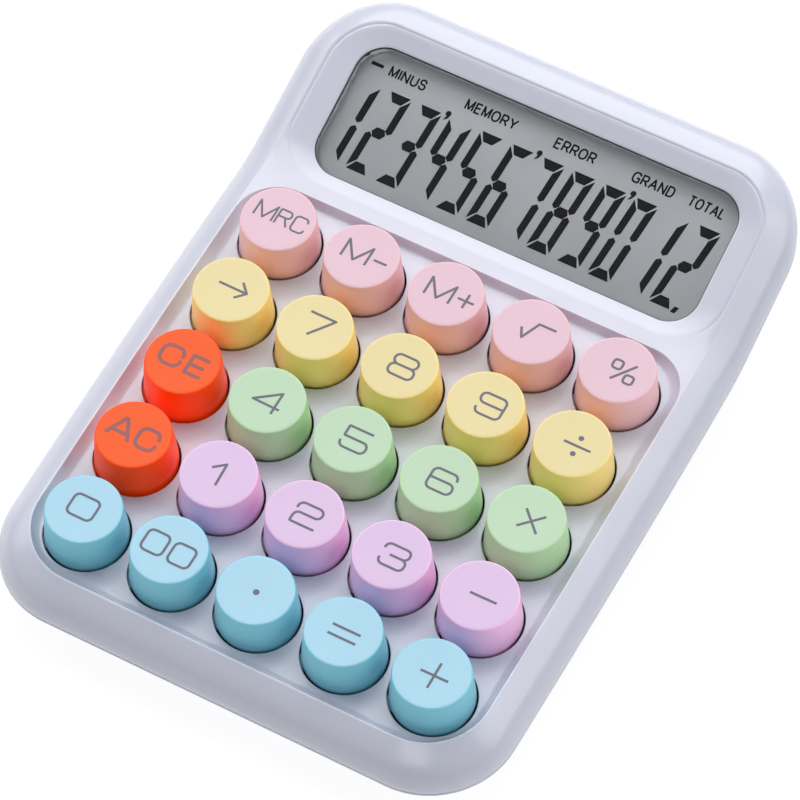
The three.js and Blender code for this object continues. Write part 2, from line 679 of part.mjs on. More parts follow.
const cell = place(calculator, 'aaa_cell', makeCell(), cellSleeve, [CELL.x, CELL.y, CELL.z]);
cell.rotation.y = Math.PI / 2;
place(calculator, 'battery_contact_plate', makeContactPlate(1), steel);
place(calculator, 'battery_contact_spring', makeContactSpring(), steel);
place(calculator, 'battery_lead_red', makeLead(1), wireRed);
place(calculator, 'battery_lead_black', makeLead(-1), wireBlack);

const foot = makeFoot();
for (const [end, y] of [['front', FOOT.frontY], ['rear', FOOT.backY]]) {
  for (const [label, side] of twoSides) {
    place(calculator, `foot_${end}_${label}`, foot, darkRubber, [side * FOOT.x, y - CASE_CENTRE_Y, 0]);
  }
}

const caseScrew = makeScrew(CASE_SCREW);
for (const { name, x, y } of CASE_SCREWS) {
  for (const [label, side] of twoSides) {
    place(deck, `case_screw_${name}_${label}`, caseScrew, steel, [side * x, y, CASE_SCREW.seat - GAP]);
  }
}

const boardScrew = makeScrew(BOARD_SCREW);
const underBoard = BOARD.top - BOARD.thickness - GAP;
for (const [row, rowSide] of [['front', -1], ['rear', 1]]) {
  for (const [label, side] of twoSides) {
    const at = [side * BOARD_BOSS.x, rowSide * BOARD_BOSS.y, underBoard];
    place(deck, `board_screw_${row}_${label}`, boardScrew, steel, at);
  }
}
for (const [label, side] of twoSides) {
  const at = [side * HOLDER_BOSS.x, HOLDER_BOSS.y, EAR.top - EAR.thickness - GAP];
  place(head, `holder_screw_${label}`, boardScrew, steel, at);
}

export default calculator;
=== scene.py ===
"""Desk calculator: the looks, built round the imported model.

Lengths in this file are millimetres unless a name says otherwise. Most shapes are made in the deck
frame: its origin is where the middle key's axis meets the key deck, +Y runs towards the display and
+Z is the direction in which the keys travel. A level is a height above the deck's plane, which
follows the bend up into the tilted display head.
"""
import math

import bpy
import numpy as np
from mathutils import Matrix, Vector
from mathutils.geometry import delaunay_2d_cdt


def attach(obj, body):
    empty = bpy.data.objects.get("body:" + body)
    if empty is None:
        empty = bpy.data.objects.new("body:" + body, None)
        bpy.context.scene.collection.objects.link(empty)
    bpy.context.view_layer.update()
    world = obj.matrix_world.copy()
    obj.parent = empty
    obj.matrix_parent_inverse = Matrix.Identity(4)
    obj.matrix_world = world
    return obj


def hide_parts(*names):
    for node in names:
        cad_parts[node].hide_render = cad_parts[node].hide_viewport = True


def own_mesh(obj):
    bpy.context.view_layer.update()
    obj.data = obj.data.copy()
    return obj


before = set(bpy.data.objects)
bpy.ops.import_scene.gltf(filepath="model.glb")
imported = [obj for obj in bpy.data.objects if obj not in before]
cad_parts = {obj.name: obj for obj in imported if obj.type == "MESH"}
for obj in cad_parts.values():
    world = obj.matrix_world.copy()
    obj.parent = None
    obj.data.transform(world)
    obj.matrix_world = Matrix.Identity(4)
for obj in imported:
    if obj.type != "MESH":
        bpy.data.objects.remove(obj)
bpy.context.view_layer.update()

MM = 0.001
BODY = "calculator"

# ---------------------------------------------------------------- dimensions, as in the CAD part
GAP = 0.3
WALL = 2.0
DECK_TILT = math.radians(4)
DECK_HEIGHT = 18.2
CASE_CENTRE_Y = 20.83
HEAD_TILT = math.radians(18)
BEND_Y = 57.3
BEND_BLEND = 5.0
KEY_PITCH = 19.5
CREST_LEVEL = 2.2
PART_LEVEL = -5.7
SIDE_BOW = 0.0155
BED_FLOOR = 1.2
WIDEST = (57.6, -57.75, 99.65, 18.4, 19.4)     # half width, front, back, front radius, back radius
CREST = (51.3, -51.4, 91.5, 13.6, 11.8)
RECESS_MOUTH = (51.0, -51.1, 51.0, 13.4, 9.6)
RECESS_FLOOR = (48.6, -48.9, 49.9, 10.4, 9.0)
DISH_MOUTH = (50.8, 53.8, 91.1, 11.8, 11.6)
WINDOW = (44.4, 15.2, 6.6)      # half width, half length, corner radius
WINDOW_CENTRE_Y = 73.12
WINDOW_SHIFT = (0.39, -0.34)    # from the head's centre
LIP_LEVEL = 1.4


def bend(y):
    past = y - BEND_Y
    slope = math.tan(HEAD_TILT)
    if past <= -BEND_BLEND:
        return 0.0
    if past >= BEND_BLEND:
        return slope * past
    return slope * (past + BEND_BLEND) ** 2 / (4 * BEND_BLEND)


DECK = Matrix.Translation((0, -CASE_CENTRE_Y, DECK_HEIGHT)) @ Matrix.Rotation(DECK_TILT, 4, "X")
HEAD_IN_DECK = (
    Matrix.Translation((0, WINDOW_CENTRE_Y, bend(WINDOW_CENTRE_Y))) @ Matrix.Rotation(HEAD_TILT, 4, "X")
)
HEAD = DECK @ HEAD_IN_DECK
TO_METRES = Matrix.Scale(MM, 4)


def desk_level(height, y):
    """Deck-frame height of a plane level with the desk, at a place y along the deck."""
    return (height - DECK_HEIGHT - y * math.sin(DECK_TILT)) / math.cos(DECK_TILT)


# ---------------------------------------------------------------- outlines
FRONT_STEPS, CORNER_STEPS, SIDE_STEPS = 30, 22, 96


def mix(a, b, t):
    return tuple(p + (q - p) * t for p, q in zip(a, b))


def outline(half_width, front, back, front_radius, back_radius, bow=0.0):
    """Closed outline with rounded corners, anticlockwise from the middle of the front edge."""
    right = [(half_width - front_radius) * i / FRONT_STEPS for i in range(FRONT_STEPS)]
    right = [(x, front) for x in right]
    for i in range(CORNER_STEPS):
        a = math.pi / 2 * (i / CORNER_STEPS - 1)
        right.append((
            half_width - front_radius + front_radius * math.cos(a),
            front + front_radius + front_radius * math.sin(a),
        ))
    low, high = front + front_radius, back - back_radius
    right += [(half_width, low + (high - low) * i / SIDE_STEPS) for i in range(SIDE_STEPS)]
    for i in range(CORNER_STEPS):
        a = math.pi / 2 * i / CORNER_STEPS
        right.append((
            half_width - back_radius + back_radius * math.cos(a),
            back - back_radius + back_radius * math.sin(a),
        ))
    right += [((half_width - back_radius) * (1 - i / FRONT_STEPS), back) for i in range(FRONT_STEPS + 1)]
    middle, reach = (WIDEST[1] + WIDEST[2]) / 2, (WIDEST[2] - WIDEST[1]) / 2
    right = [(x * (1 - bow * ((y - middle) / reach) ** 2), y) for x, y in right]
    return right + [(-x, y) for x, y in right[-2:0:-1]]


def circle(x, y, radius, steps=96):
    angles = [2 * math.pi * i / steps for i in range(steps)]
    return [(x + radius * math.cos(a), y + radius * math.sin(a)) for a in angles]


def window_outline(grow):
    """The window's opening in the head's frame, moved outwards."""
    half_width, half_length, radius = [size + grow for size in WINDOW]
    points = outline(half_width, -half_length, half_length, radius, radius)
    return [(x + WINDOW_SHIFT[0], y + WINDOW_SHIFT[1]) for x, y in points]


def at_level(points, level):
    return [(x, y, level + bend(y)) for x, y in points]


def at_desk(points, height):
    return [(x, y, desk_level(height, y)) for x, y in points]


def inset(distance, shrink=0.8):
    """The widest outline moved inwards."""
    half_width, front, back, fr, br = WIDEST
    return (
        half_width - distance, front + distance, back - distance,
        fr - distance * shrink, br - distance * shrink,
    )


def case_outline(distance):
    return outline(*inset(distance), bow=SIDE_BOW)


def inside(points, loop):
    """Which of the points lie within the closed loop."""
    p = np.asarray(points, float).reshape(-1, 2)
    a = np.asarray(loop, float)[:, :2]
    b = np.roll(a, -1, axis=0)
    x, y = p[:, :1], p[:, 1:]
    crosses = (a[:, 1] > y) != (b[:, 1] > y)
    with np.errstate(divide="ignore", invalid="ignore"):
        reach = (b[:, 0] - a[:, 0]) * (y - a[:, 1]) / (b[:, 1] - a[:, 1]) + a[:, 0]
    return (crosses & (x < reach)).sum(1) % 2 == 1


# ---------------------------------------------------------------- mesh building
class Skin:
    """Collects vertices and faces for one mesh."""

    def __init__(self):
        self.verts = []
        self.faces = []

    def ring(self, points):
        start = len(self.verts)
        self.verts.extend(tuple(p) for p in points)
        return list(range(start, len(self.verts)))

    def band(self, lower, upper, flip=False):
        """Quads between two rings with as many points each."""
        n = len(lower)
        for i in range(n):
            j = (i + 1) % n
            quad = (lower[i], lower[j], upper[j], upper[i])
            self.faces.append(quad[::-1] if flip else quad)

    def bands(self, rings, flip=False):
        for lower, upper in zip(rings, rings[1:]):
            self.band(lower, upper, flip)

    def strip(self, ring, flip=False):
        """Closes a ring that is the same on both sides of the x = 0 plane."""
        n = len(ring)
        for i in range(n // 2):
            quad = (ring[i], ring[i + 1], ring[(n - i - 1) % n], ring[(n - i) % n])
            quad = tuple(dict.fromkeys(quad))
            self.faces.append(quad[::-1] if flip else quad)

    def closed(self, rings):
        """A solid from its lowest ring to its highest, each closed off."""
        self.bands(rings)
        self.strip(rings[0], flip=True)
        self.strip(rings[-1])

    def sheet(self, loops, height, extra=(), flip=False):
        """Triangles inside the first loop and outside the others, sharing the loops' vertices."""
        coords, edges, index = [], [], []
        for loop in loops:
            start = len(coords)
            coords += [self.verts[i][:2] for i in loop]
            index += loop
            edges += [(start + i, start + (i + 1) % len(loop)) for i in range(len(loop))]
        for x, y in extra:
            coords.append((x, y))
            index.append(len(self.verts))
            self.verts.append((x, y, height(x, y)))
        found, _, faces, source, _, _ = delaunay_2d_cdt([Vector(c) for c in coords], edges, [], 0, 1e-6)
        where = np.array([tuple(v) for v in found])
        faces = [f for f in faces if len(f) == 3]
        centres = where[np.array(faces)].mean(1)
        keep = inside(centres, [self.verts[i] for i in loops[0]])
        for loop in loops[1:]:
            keep &= ~inside(centres, [self.verts[i] for i in loop])
        for face, kept in zip(faces, keep):
            if kept:
                face = tuple(index[source[i][0]] for i in face)
                self.faces.append(face[::-1] if flip else face)

    def build(self, name, matrix=DECK, body=BODY, sharp=None):
        return mesh_object(name, self.verts, self.faces, matrix, body, sharp)


def mesh_object(name, verts, faces, matrix=DECK, body=BODY, sharp=None):
    mesh = bpy.data.meshes.new(name)
    mesh.from_pydata([tuple(v) for v in verts], [], [tuple(f) for f in faces])
    mesh.transform(TO_METRES @ matrix)
    mesh.validate()
    mesh.shade_smooth()
    if sharp is not None:
        mesh.set_sharp_from_angle(angle=math.radians(sharp))
    obj = bpy.data.objects.new(name, mesh)
    bpy.context.scene.collection.objects.link(obj)
    if body:
        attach(obj, body)
    return obj


def lathe(profile, steps=96):
    """Vertices and faces of a solid of revolution about Z from (radius, height) pairs."""
    verts, rings = [], []
    for r, z in profile:
        if r < 1e-6:
            rings.append([len(verts)] * steps)
            verts.append((0.0, 0.0, z))
        else:
            rings.append(list(range(len(verts), len(verts) + steps)))
            verts += [(x, y, z) for x, y in circle(0, 0, r, steps)]
    faces = []
    for a, b in zip(rings, rings[1:]):
        for i in range(steps):
            j = (i + 1) % steps
            face = tuple(dict.fromkeys((a[i], a[j], b[j], b[i])))
            if len(face) > 2:
                faces.append(face)
    return verts, faces


def rounded(corner, before, after, radius, steps=5):
    """Points of a fillet at a profile corner, between the points before and after it."""
    c, a, b = Vector(corner), Vector(before), Vector(after)
    da, db = (a - c).normalized(), (b - c).normalized()
    half = da.angle(db) / 2
    reach = radius / math.tan(half)
    centre = c + (da + db).normalized() * (radius / math.sin(half))
    start, end = c + da * reach - centre, c + db * reach - centre
    turn = start.angle(end)
    points = []
    for i in range(steps + 1):
        t = i / steps
        p = (start * math.sin((1 - t) * turn) + end * math.sin(t * turn)) / math.sin(turn)
        points.append(tuple(centre + p))
    return points


def fillet(profile, radii, steps=5):
    """The profile with the corners named in radii rounded off."""
    out = []
    for i, p in enumerate(profile):
        if i in radii:
            out += rounded(p, profile[i - 1], profile[(i + 1) % len(profile)], radii[i], steps)
        else:
            out.append(tuple(p))
    return out


def smooth(t):
    return t * t * (3 - 2 * t)


# ---------------------------------------------------------------- materials
def srgb(r, g, b):
    def linear(v):
        v /= 255
        return v / 12.92 if v <= 0.04045 else ((v + 0.055) / 1.055) ** 2.4
    return (linear(r), linear(g), linear(b), 1.0)


class Nodes:
    """A material's node tree, with short ways to add nodes and links."""

    def __init__(self, name):
        self.material = bpy.data.materials.new(name)
        self.material.use_nodes = True
        self.tree = self.material.node_tree
        self.shader = self.tree.nodes["Principled BSDF"]
        self.coords = self.add("ShaderNodeTexCoord").outputs["Object"]

    def add(self, kind, **settings):
        node = self.tree.nodes.new(kind)
        for key, value in settings.items():
            if key in node.inputs:
                node.inputs[key].default_value = value
            else:
                setattr(node, key, value)
        return node

    def link(self, source, target):
        self.tree.links.new(source, target)

    def drive(self, socket, source):
        """Links a value that varies over the surface to the shader."""
        self.link(source, self.shader.inputs[socket])

    def fix(self, socket, value):
        """Sets a value that is the same all over the surface."""
        self.shader.inputs[socket].default_value = value

    def gloss(self, scale, detail, low, high, roughness=0.5):
        """Lets the surface's roughness wander between two values."""
        self.drive("Roughness", self.range(self.noise(scale, detail, roughness), low, high))

    def noise(self, scale, detail=3.0, roughness=0.5):
        node = self.add("ShaderNodeTexNoise", Scale=scale, Detail=detail, Roughness=roughness)
        self.link(self.coords, node.inputs["Vector"])
        return node.outputs["Fac"]

    def ramp(self, source, stops):
        node = self.add("ShaderNodeValToRGB")
        elements = node.color_ramp.elements
        while len(elements) < len(stops):
            elements.new(0.5)
        for element, (place, colour) in zip(elements, stops):
            element.position = place
            element.color = colour
        self.link(source, node.inputs["Fac"])
        return node.outputs["Color"]

    def mottle(self, source, colour, darkest, palest):
        return self.ramp(source, [(0.3, tone(colour, darkest)), (0.7, tone(colour, palest))])

    def range(self, source, low, high):
        node = self.add("ShaderNodeMapRange", **{"To Min": low, "To Max": high})
        self.link(source, node.inputs["Value"])
        return node.outputs["Result"]

    def along(self, output, direction, low, high):
        """0 to 1 as a coordinate's part along a direction goes from low to high."""
        part = self.add("ShaderNodeVectorMath", operation="DOT_PRODUCT")
        part.inputs[1].default_value = direction
        self.link(self.add("ShaderNodeTexCoord").outputs[output], part.inputs[0])
        node = self.add("ShaderNodeMapRange", **{"From Min": low, "From Max": high})
        self.link(part.outputs["Value"], node.inputs["Value"])
        return node.outputs["Result"]

    def blend(self, factor, first, second):
        node = self.add("ShaderNodeMix", data_type="RGBA")
        for socket, source in ((0, factor), (6, first), (7, second)):
            self.link(source, node.inputs[socket])
        return node.outputs[2]

    def bump(self, source, strength, distance=0.0001, into=None):
        node = self.add("ShaderNodeBump", Strength=strength, Distance=distance)
        self.link(source, node.inputs["Height"])
        if into is not None:
            self.link(into, node.inputs["Normal"])
        return node.outputs["Normal"]


def tone(colour, factor):
    return tuple(min(1.0, c * factor) for c in colour[:3]) + (1.0,)


def moulded(name, colour, roughness, spread=0.03, grain=0.0, waviness=0.0, subsurface=0.0, ior=1.5):
    """Injection-moulded plastic: faint flow mottling, a little unevenness of gloss, a fine mould grain."""
    n = Nodes(name)
    flow = n.noise(45, 4.0, 0.55)
    n.drive("Base Color", n.mottle(flow, colour, 1 - spread, 1 + spread))
    n.gloss(220, 3.0, roughness * 0.85, roughness * 1.15)
    normal = None
    if waviness:
        normal = n.bump(n.noise(28, 1.0, 0.4), waviness, 0.0004)
    if grain:
        normal = n.bump(n.noise(9000, 2.0, 0.6), grain, 0.00002, normal)
    if normal is not None:
        n.drive("Normal", normal)
    n.fix("IOR", ior)
    if subsurface:
        n.fix("Subsurface Weight", subsurface)
        n.fix("Subsurface Radius", (1.0, 0.9, 0.85))
        n.fix("Subsurface Scale", 0.0015)
    return n.material


def paint(obj, material):
    obj.data.materials.clear()
    obj.data.materials.append(material)


CASE = moulded("case_plastic", srgb(194, 196, 208), 0.2, spread=0.008, grain=0.05, waviness=0.03,
               subsurface=0.6)
KEY_COLOURS_WITH_PAINTED_LIGHT = {     # the top; the sides' colour, painted light that stands for how the sides and the top's rounded edge are lit; for orange, a painted glow
    "pink": (srgb(207, 176, 187), srgb(240, 192, 196)),
    "yellow": (srgb(211, 197, 147), srgb(255, 224, 134)),
    "orange": (srgb(212, 78, 12), srgb(255, 68, 0), 0.11),
    "mint": (srgb(173, 198, 170), srgb(182, 222, 169)),
    "lilac": (srgb(202, 177, 208), srgb(248, 196, 236)),
    "sky_blue": (srgb(156, 196, 214), srgb(129, 201, 218)),
}


def key_plastic(name, top, painted_side_colour, painted_glow=0.0, roughness=0.42):
    """Key plastic with painted light: the sides and the top's rounded edge take a second colour, chosen by
    which way they face, that stands for how they are lit; a painted glow where given; and a fine mould grain.
    """
    n = Nodes(name)
    # painted light: faces that tilt away from the top take the side colour, which blends into the top colour
    # over the rounded edge
    painted_light_facing = n.along("Normal", DECK.to_3x3() @ Vector((0, 0, 1)), 0.85, 0.99)
    flow = n.noise(45, 4.0, 0.55)
    lit_and_shaded_tones = n.mottle(flow, painted_side_colour, 0.97, 1.03), n.mottle(flow, top, 0.985, 1.015)
    n.drive("Base Color", n.blend(painted_light_facing, *lit_and_shaded_tones))
    n.gloss(220, 3.0, roughness * 0.85, roughness * 1.15)
    n.drive("Normal", n.bump(n.noise(7000, 2.0, 0.6), 0.25, 0.00002))
    n.fix("Specular IOR Level", 0.25)
    # painted glow: the key gives off light in its side colour, though it is no lamp
    n.fix("Emission Color", painted_side_colour)
    n.fix("Emission Strength", painted_glow)
    return n.material


KEY_PLASTIC = {name: key_plastic(f"key_plastic_{name}", *pair) for name, pair in KEY_COLOURS_WITH_PAINTED_LIGHT.items()}
INK = moulded("legend_ink", srgb(86, 86, 100), 0.5, spread=0.05, grain=0.3)
INK_DARK = moulded("legend_ink_on_orange", srgb(130, 70, 70), 0.5, spread=0.05, grain=0.3)


def rubbery(name, colour, roughness=0.75):
    """Matt rubber: fine speckle, dust-like mottling and a soft grain."""
    n = Nodes(name)
    speckle = n.noise(2600, 3.0, 0.7)
    n.drive("Base Color", n.mottle(speckle, colour, 0.8, 1.25))
    n.gloss(300, 2.0, roughness * 0.85, roughness * 1.1)
    n.drive("Normal", n.bump(n.noise(5200, 3.0, 0.6), 0.35, 0.00003))
    return n.material


def metallic(name, colour, roughness=0.28):
    """Plated steel: cloudy plating and fine scratches."""
    n = Nodes(name)
    cloud = n.noise(380, 4.0, 0.6)
    n.drive("Base Color", n.ramp(cloud, [(0.25, tone(colour, 0.82)), (0.75, tone(colour, 1.08))]))
    n.gloss(900, 5.0, roughness * 0.6, roughness * 1.5, 0.7)
    n.drive("Normal", n.bump(n.noise(4200, 2.0), 0.15, 0.00002))
    n.fix("Metallic", 1.0)
    return n.material


def display_glass(name, colour, lower=0.88, upper=1.24):
    """The cell's backing with painted light: paler towards its rear edge, to lift the shade the window's lip
    casts there, and darker towards its front, with a slow unevenness under smooth glass.
    """
    n = Nodes(name)
    rearwards = HEAD.to_3x3() @ Vector((0, 1, 0))
    middle = HEAD.translation.dot(rearwards) * MM
    # painted light: the backing's colour rises towards the rear edge, where the lip shades it
    rise = n.along("Object", rearwards, middle - 15 * MM, middle + 15 * MM)
    flow = n.noise(60, 3.0, 0.5)
    lit_and_shaded_tones = [n.mottle(flow, colour, factor - 0.025, factor + 0.025) for factor in (lower, upper)]
    n.drive("Base Color", n.blend(rise, *lit_and_shaded_tones))
    n.gloss(500, 3.0, 0.3, 0.4)
    n.drive("Normal", n.bump(n.noise(6000, 2.0), 0.06, 0.00001))
    return n.material


def clear_plastic(name):
    """Clear acrylic: barely tinted, with a slight unevenness of polish."""
    n = Nodes(name)
    n.drive("Base Color", n.ramp(n.noise(90, 2.0), [(0.3, (0.97, 0.98, 0.98, 1)), (0.7, (1, 1, 1, 1))]))
    n.gloss(260, 3.0, 0.01, 0.035)
    n.fix("Transmission Weight", 1.0)
    n.fix("IOR", 1.4)
    return n.material


def circuit_board(name):
    """Green solder mask over copper tracks, which show as paler lines."""
    n = Nodes(name)
    wave = n.add("ShaderNodeTexWave", wave_type="BANDS", bands_direction="DIAGONAL",
                 Scale=190, Distortion=6, Detail=1)
    n.link(n.coords, wave.inputs["Vector"])
    n.drive("Base Color", n.ramp(wave.outputs["Fac"], [(0.55, srgb(20, 92, 58)), (0.66, srgb(38, 124, 78))]))
    n.gloss(600, 2.0, 0.25, 0.4)
    n.drive("Normal", n.bump(wave.outputs["Fac"], 0.2, 0.00004))
    return n.material


RUBBER = rubbery("foot_rubber", srgb(52, 52, 58))
SILICONE = rubbery("dome_silicone", srgb(96, 98, 106), 0.6)
STEEL = metallic("plated_steel", srgb(204, 206, 210))
DISPLAY = display_glass("display_cell_grey", srgb(190, 193, 196))
CLEAR = clear_plastic("window_acrylic")
SEGMENT_INK = moulded("segment_black", srgb(7, 9, 13), 0.5, spread=0.1, grain=0.05, ior=1.1)
HOLDER = moulded("holder_plastic", srgb(206, 206, 212), 0.5, spread=0.03, grain=0.3)
BOARD = circuit_board("circuit_board")
RESIN = moulded("potting_resin", srgb(22, 22, 25), 0.3, spread=0.2, grain=0.2, waviness=0.2)
SLEEVE = moulded("cell_sleeve", srgb(46, 122, 84), 0.3, spread=0.06, grain=0.1, waviness=0.1)
AMBER = moulded("ribbon_film", srgb(186, 138, 60), 0.3, spread=0.08, grain=0.1)
WIRE_RED = moulded("wire_red", srgb(190, 44, 36), 0.45, spread=0.08, grain=0.2)
WIRE_BLACK = moulded("wire_black", srgb(30, 30, 33), 0.45, spread=0.15, grain=0.2)

KEY_ROWS = [
    (["mrc", "m_minus", "m_plus", "sqrt", "percent"], ["pink"] * 5),
    (["arrow", "7", "8", "9", "divide"], ["yellow"] * 5),
    (["ce", "4", "5", "6", "multiply"], ["orange"] + ["mint"] * 4),
    (["ac", "1", "2", "3", "minus"], ["orange"] + ["lilac"] * 4),
    (["0", "00", "point", "equals", "plus"], ["sky_blue"] * 5),
]
KEYS = [
    (name, colour, (c - 2) * KEY_PITCH, (2 - r) * KEY_PITCH)
    for r, (names, colours) in enumerate(KEY_ROWS)
    for c, (name, colour) in enumerate(zip(names, colours))
]

# ---------------------------------------------------------------- small solids and booleans
def block(low, high, matrix=None):
    """Vertices and faces of a box between two corners, in the origin's frame."""
    (x0, y0, z0), (x1, y1, z1) = low, high
    verts = [(x, y, z) for z in (z0, z1) for x, y in ((x0, y0), (x1, y0), (x1, y1), (x0, y1))]
    faces = [(0, 3, 2, 1), (4, 5, 6, 7), (0, 1, 5, 4), (1, 2, 6, 5), (2, 3, 7, 6), (3, 0, 4, 7)]
    return [tuple(matrix @ Vector(v)) if matrix else v for v in verts], faces


def post(x, y, radius, bottom, top, steps=32, matrix=None):
    """Vertices and faces of an upright round bar."""
    verts = [(*p, z) for z in (bottom, top) for p in circle(x, y, radius, steps)]
    faces = [tuple(range(steps))[::-1], tuple(range(steps, 2 * steps))]
    faces += [(i, (i + 1) % steps, steps + (i + 1) % steps, steps + i) for i in range(steps)]
    return [tuple(matrix @ Vector(v)) if matrix else v for v in verts], faces


def carve(obj, added=(), cut=()):
    """Adds some plain solids and cuts others away, and makes the result permanent."""
    tools = []
    for operation, (verts, faces) in [("UNION", a) for a in added] + [("DIFFERENCE", c) for c in cut]:
        tool = mesh_object("tool", verts, faces, Matrix.Identity(4), None)
        modifier = obj.modifiers.new("carve", "BOOLEAN")
        modifier.object = tool
        modifier.operation = operation
        modifier.solver = "MANIFOLD"
        tools.append(tool)
    bpy.context.view_layer.update()
    made = bpy.data.meshes.new_from_object(obj.evaluated_get(bpy.context.evaluated_depsgraph_get()))
    obj.modifiers.clear()
    old = obj.data
    obj.data = made
    bpy.data.meshes.remove(old)
    for tool in tools:
        mesh = tool.data
        bpy.data.objects.remove(tool)
        bpy.data.meshes.remove(mesh)
    made.shade_smooth()
    made.set_sharp_from_angle(angle=math.radians(35))


def curve(points, steps):
    """Points along a cubic Bezier curve."""
    p0, p1, p2, p3 = [Vector(p) for p in points]
    out = []
    for i in range(steps + 1):
        t = i / steps
        out.append(tuple(
            p0 * (1 - t) ** 3 + p1 * 3 * t * (1 - t) ** 2 + p2 * 3 * t * t * (1 - t) + p3 * t ** 3
        ))
    return out


# ---------------------------------------------------------------- upper case
HOLE_RADIUS = 8.95
HOLE_EDGE = 0.1


def grid(box, step):
    x0, y0, x1, y1 = box
    return [
        (x0 + (x1 - x0) * i / round((x1 - x0) / step), y0 + (y1 - y0) * j / round((y1 - y0) / step))
        for i in range(round((x1 - x0) / step) + 1)
        for j in range(round((y1 - y0) / step) + 1)
    ]


def away(points, loops, margin):
    """The points that lie inside the first loop, outside the others, and at least margin from all."""
    p = np.asarray(points, float)
    keep = inside(p, loops[0])
    for loop in loops[1:]:
        keep &= ~inside(p, loop)
    for loop in loops:
        q = np.asarray(loop, float)[:, :2]
        nearest = np.sqrt(((p[:, None, :] - q[None, :, :]) ** 2).sum(2)).min(1)
        keep &= nearest > margin
    return [tuple(v) for v in p[keep]]


def make_top_case():
    skin = Skin()
    # Flank, from the parting line up to the crest.
    edge = 0.25
    rings = [
        skin.ring(at_level(case_outline(edge), PART_LEVEL)),
        skin.ring(at_level(case_outline(edge * 0.3), PART_LEVEL + edge * 0.3)),
    ]
    rise = CREST_LEVEL - PART_LEVEL - edge
    side = curve([(0, 0), (0.0, 0.52), (0.56, 0.80), (1, 1)], 16)
    side = side[:-1] + [mix(side[-2], side[-1], t) for t in (0.55, 0.88, 1)]
    for inward, up in side:
        shape = mix(WIDEST, CREST, inward)
        rings.append(skin.ring(at_level(outline(*shape, bow=SIDE_BOW), PART_LEVEL + edge + rise * up)))
    skin.bands(rings)
    crest, foot = rings[-1], rings[0]

    # Key recess: wall, then the flat floor with its key holes.
    wall = []
    steps = 12
    for i in range(steps + 1):
        t = i / steps
        shape = mix(RECESS_MOUTH, RECESS_FLOOR, t)
        ring = outline(*shape, bow=SIDE_BOW * (1 - t))
        wall.append(skin.ring(at_level(ring, CREST_LEVEL * (1 - t) ** 1.7 * (1 - 0.35 * t * (1 - t)))))
    half_width, front, back, fr, br = RECESS_FLOOR
    flat = (half_width - 0.2, front + 0.2, back - 0.2, fr - 0.2, br - 0.2)
    wall.append(skin.ring(at_level(outline(*flat), 0)))
    skin.bands(wall)
    under_holes, floor_holes = [], []
    for _, _, x, y in KEYS:
        hole = [skin.ring(at_level(circle(x, y, HOLE_RADIUS + HOLE_EDGE + 0.1), 0))]
        for i in range(5):
            a = math.pi / 2 * i / 4
            radius = HOLE_RADIUS + HOLE_EDGE * (1 - math.sin(a))
            hole.append(skin.ring(at_level(circle(x, y, radius), -HOLE_EDGE * (1 - math.cos(a)))))
        hole.append(skin.ring(at_level(circle(x, y, HOLE_RADIUS), -WALL)))
        skin.bands(hole)
        floor_holes.append(hole[0])
        under_holes.append(hole[-1])
    skin.sheet([wall[-1]] + floor_holes, lambda x, y: 0.0)

    # Display dish: a crease that fades out towards the front, a slope, then the window's wall.
    mouth = outline(*DISH_MOUTH, bow=SIDE_BOW)
    lip = [HEAD_IN_DECK @ Vector((x, y, LIP_LEVEL)) for x, y in window_outline(0.25)]
    fade = [smooth(min(1, max(0, (y - 55) / 15))) for _, y in mouth]

    def dish_ring(along, crease, drop):
        points = []
        for (x, y), end, depth in zip(mouth, lip, fade):
            x, y = x + (end.x - x) * along, y + (end.y - y) * along
            level = (CREST_LEVEL - crease * depth) * (1 - drop) + (end.z - bend(end.y)) * drop
            points.append((x, y, level + bend(y)))
        return skin.ring(points)

    dish = [dish_ring(along, crease, 0) for along, crease in (
        (0, 0), (0.015, 0.05), (0.04, 0.15), (0.065, 0.15), (0.085, 0.08))]
    steps = 14
    for i in range(steps + 1):
        t = i / steps
        drop = (t * t / 0.5 if t < 0.25 else t - 0.125) / 0.875
        dish.append(dish_ring(0.095 + 0.905 * t, 0.04, drop))
    for level in (LIP_LEVEL - 0.12, LIP_LEVEL - 0.24, -WALL):
        dish.append(skin.ring(HEAD_IN_DECK @ Vector((x, y, level)) for x, y in window_outline(0)))
    skin.bands(dish)

    # The soft ridge between recess, dish and flank.
    loops = [crest, wall[0], dish[0]]
    shapes = [[skin.verts[i] for i in loop] for loop in loops]
    extra = away(grid((-51, -51, 51, 91.4), 1.5), shapes, 0.7)
    skin.sheet(loops, lambda x, y: CREST_LEVEL + bend(y), extra)

    # Inside: the ceiling and the inner wall, back to the parting line.
    ceiling = skin.ring(at_level(case_outline(WALL + 4.6), -WALL))
    shapes = [[skin.verts[i] for i in loop] for loop in [ceiling, dish[-1]]]
    extra = away(grid((-50, 50.5, 50, 92), 2.5), shapes, 1.2)
    skin.sheet([ceiling, dish[-1]] + under_holes, lambda x, y: bend(y) - WALL, extra, flip=True)
    inner = [ceiling]
    for distance, level in ((WALL + 2.6, -2.6), (WALL + 0.9, -3.7), (WALL, PART_LEVEL)):
        inner.append(skin.ring(at_level(case_outline(distance), level)))
    skin.bands(inner)
    skin.band(inner[-1], foot)
    top = skin.build("upper_case", sharp=50)
    paint(top, CASE)
    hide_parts("top_case")


make_top_case()

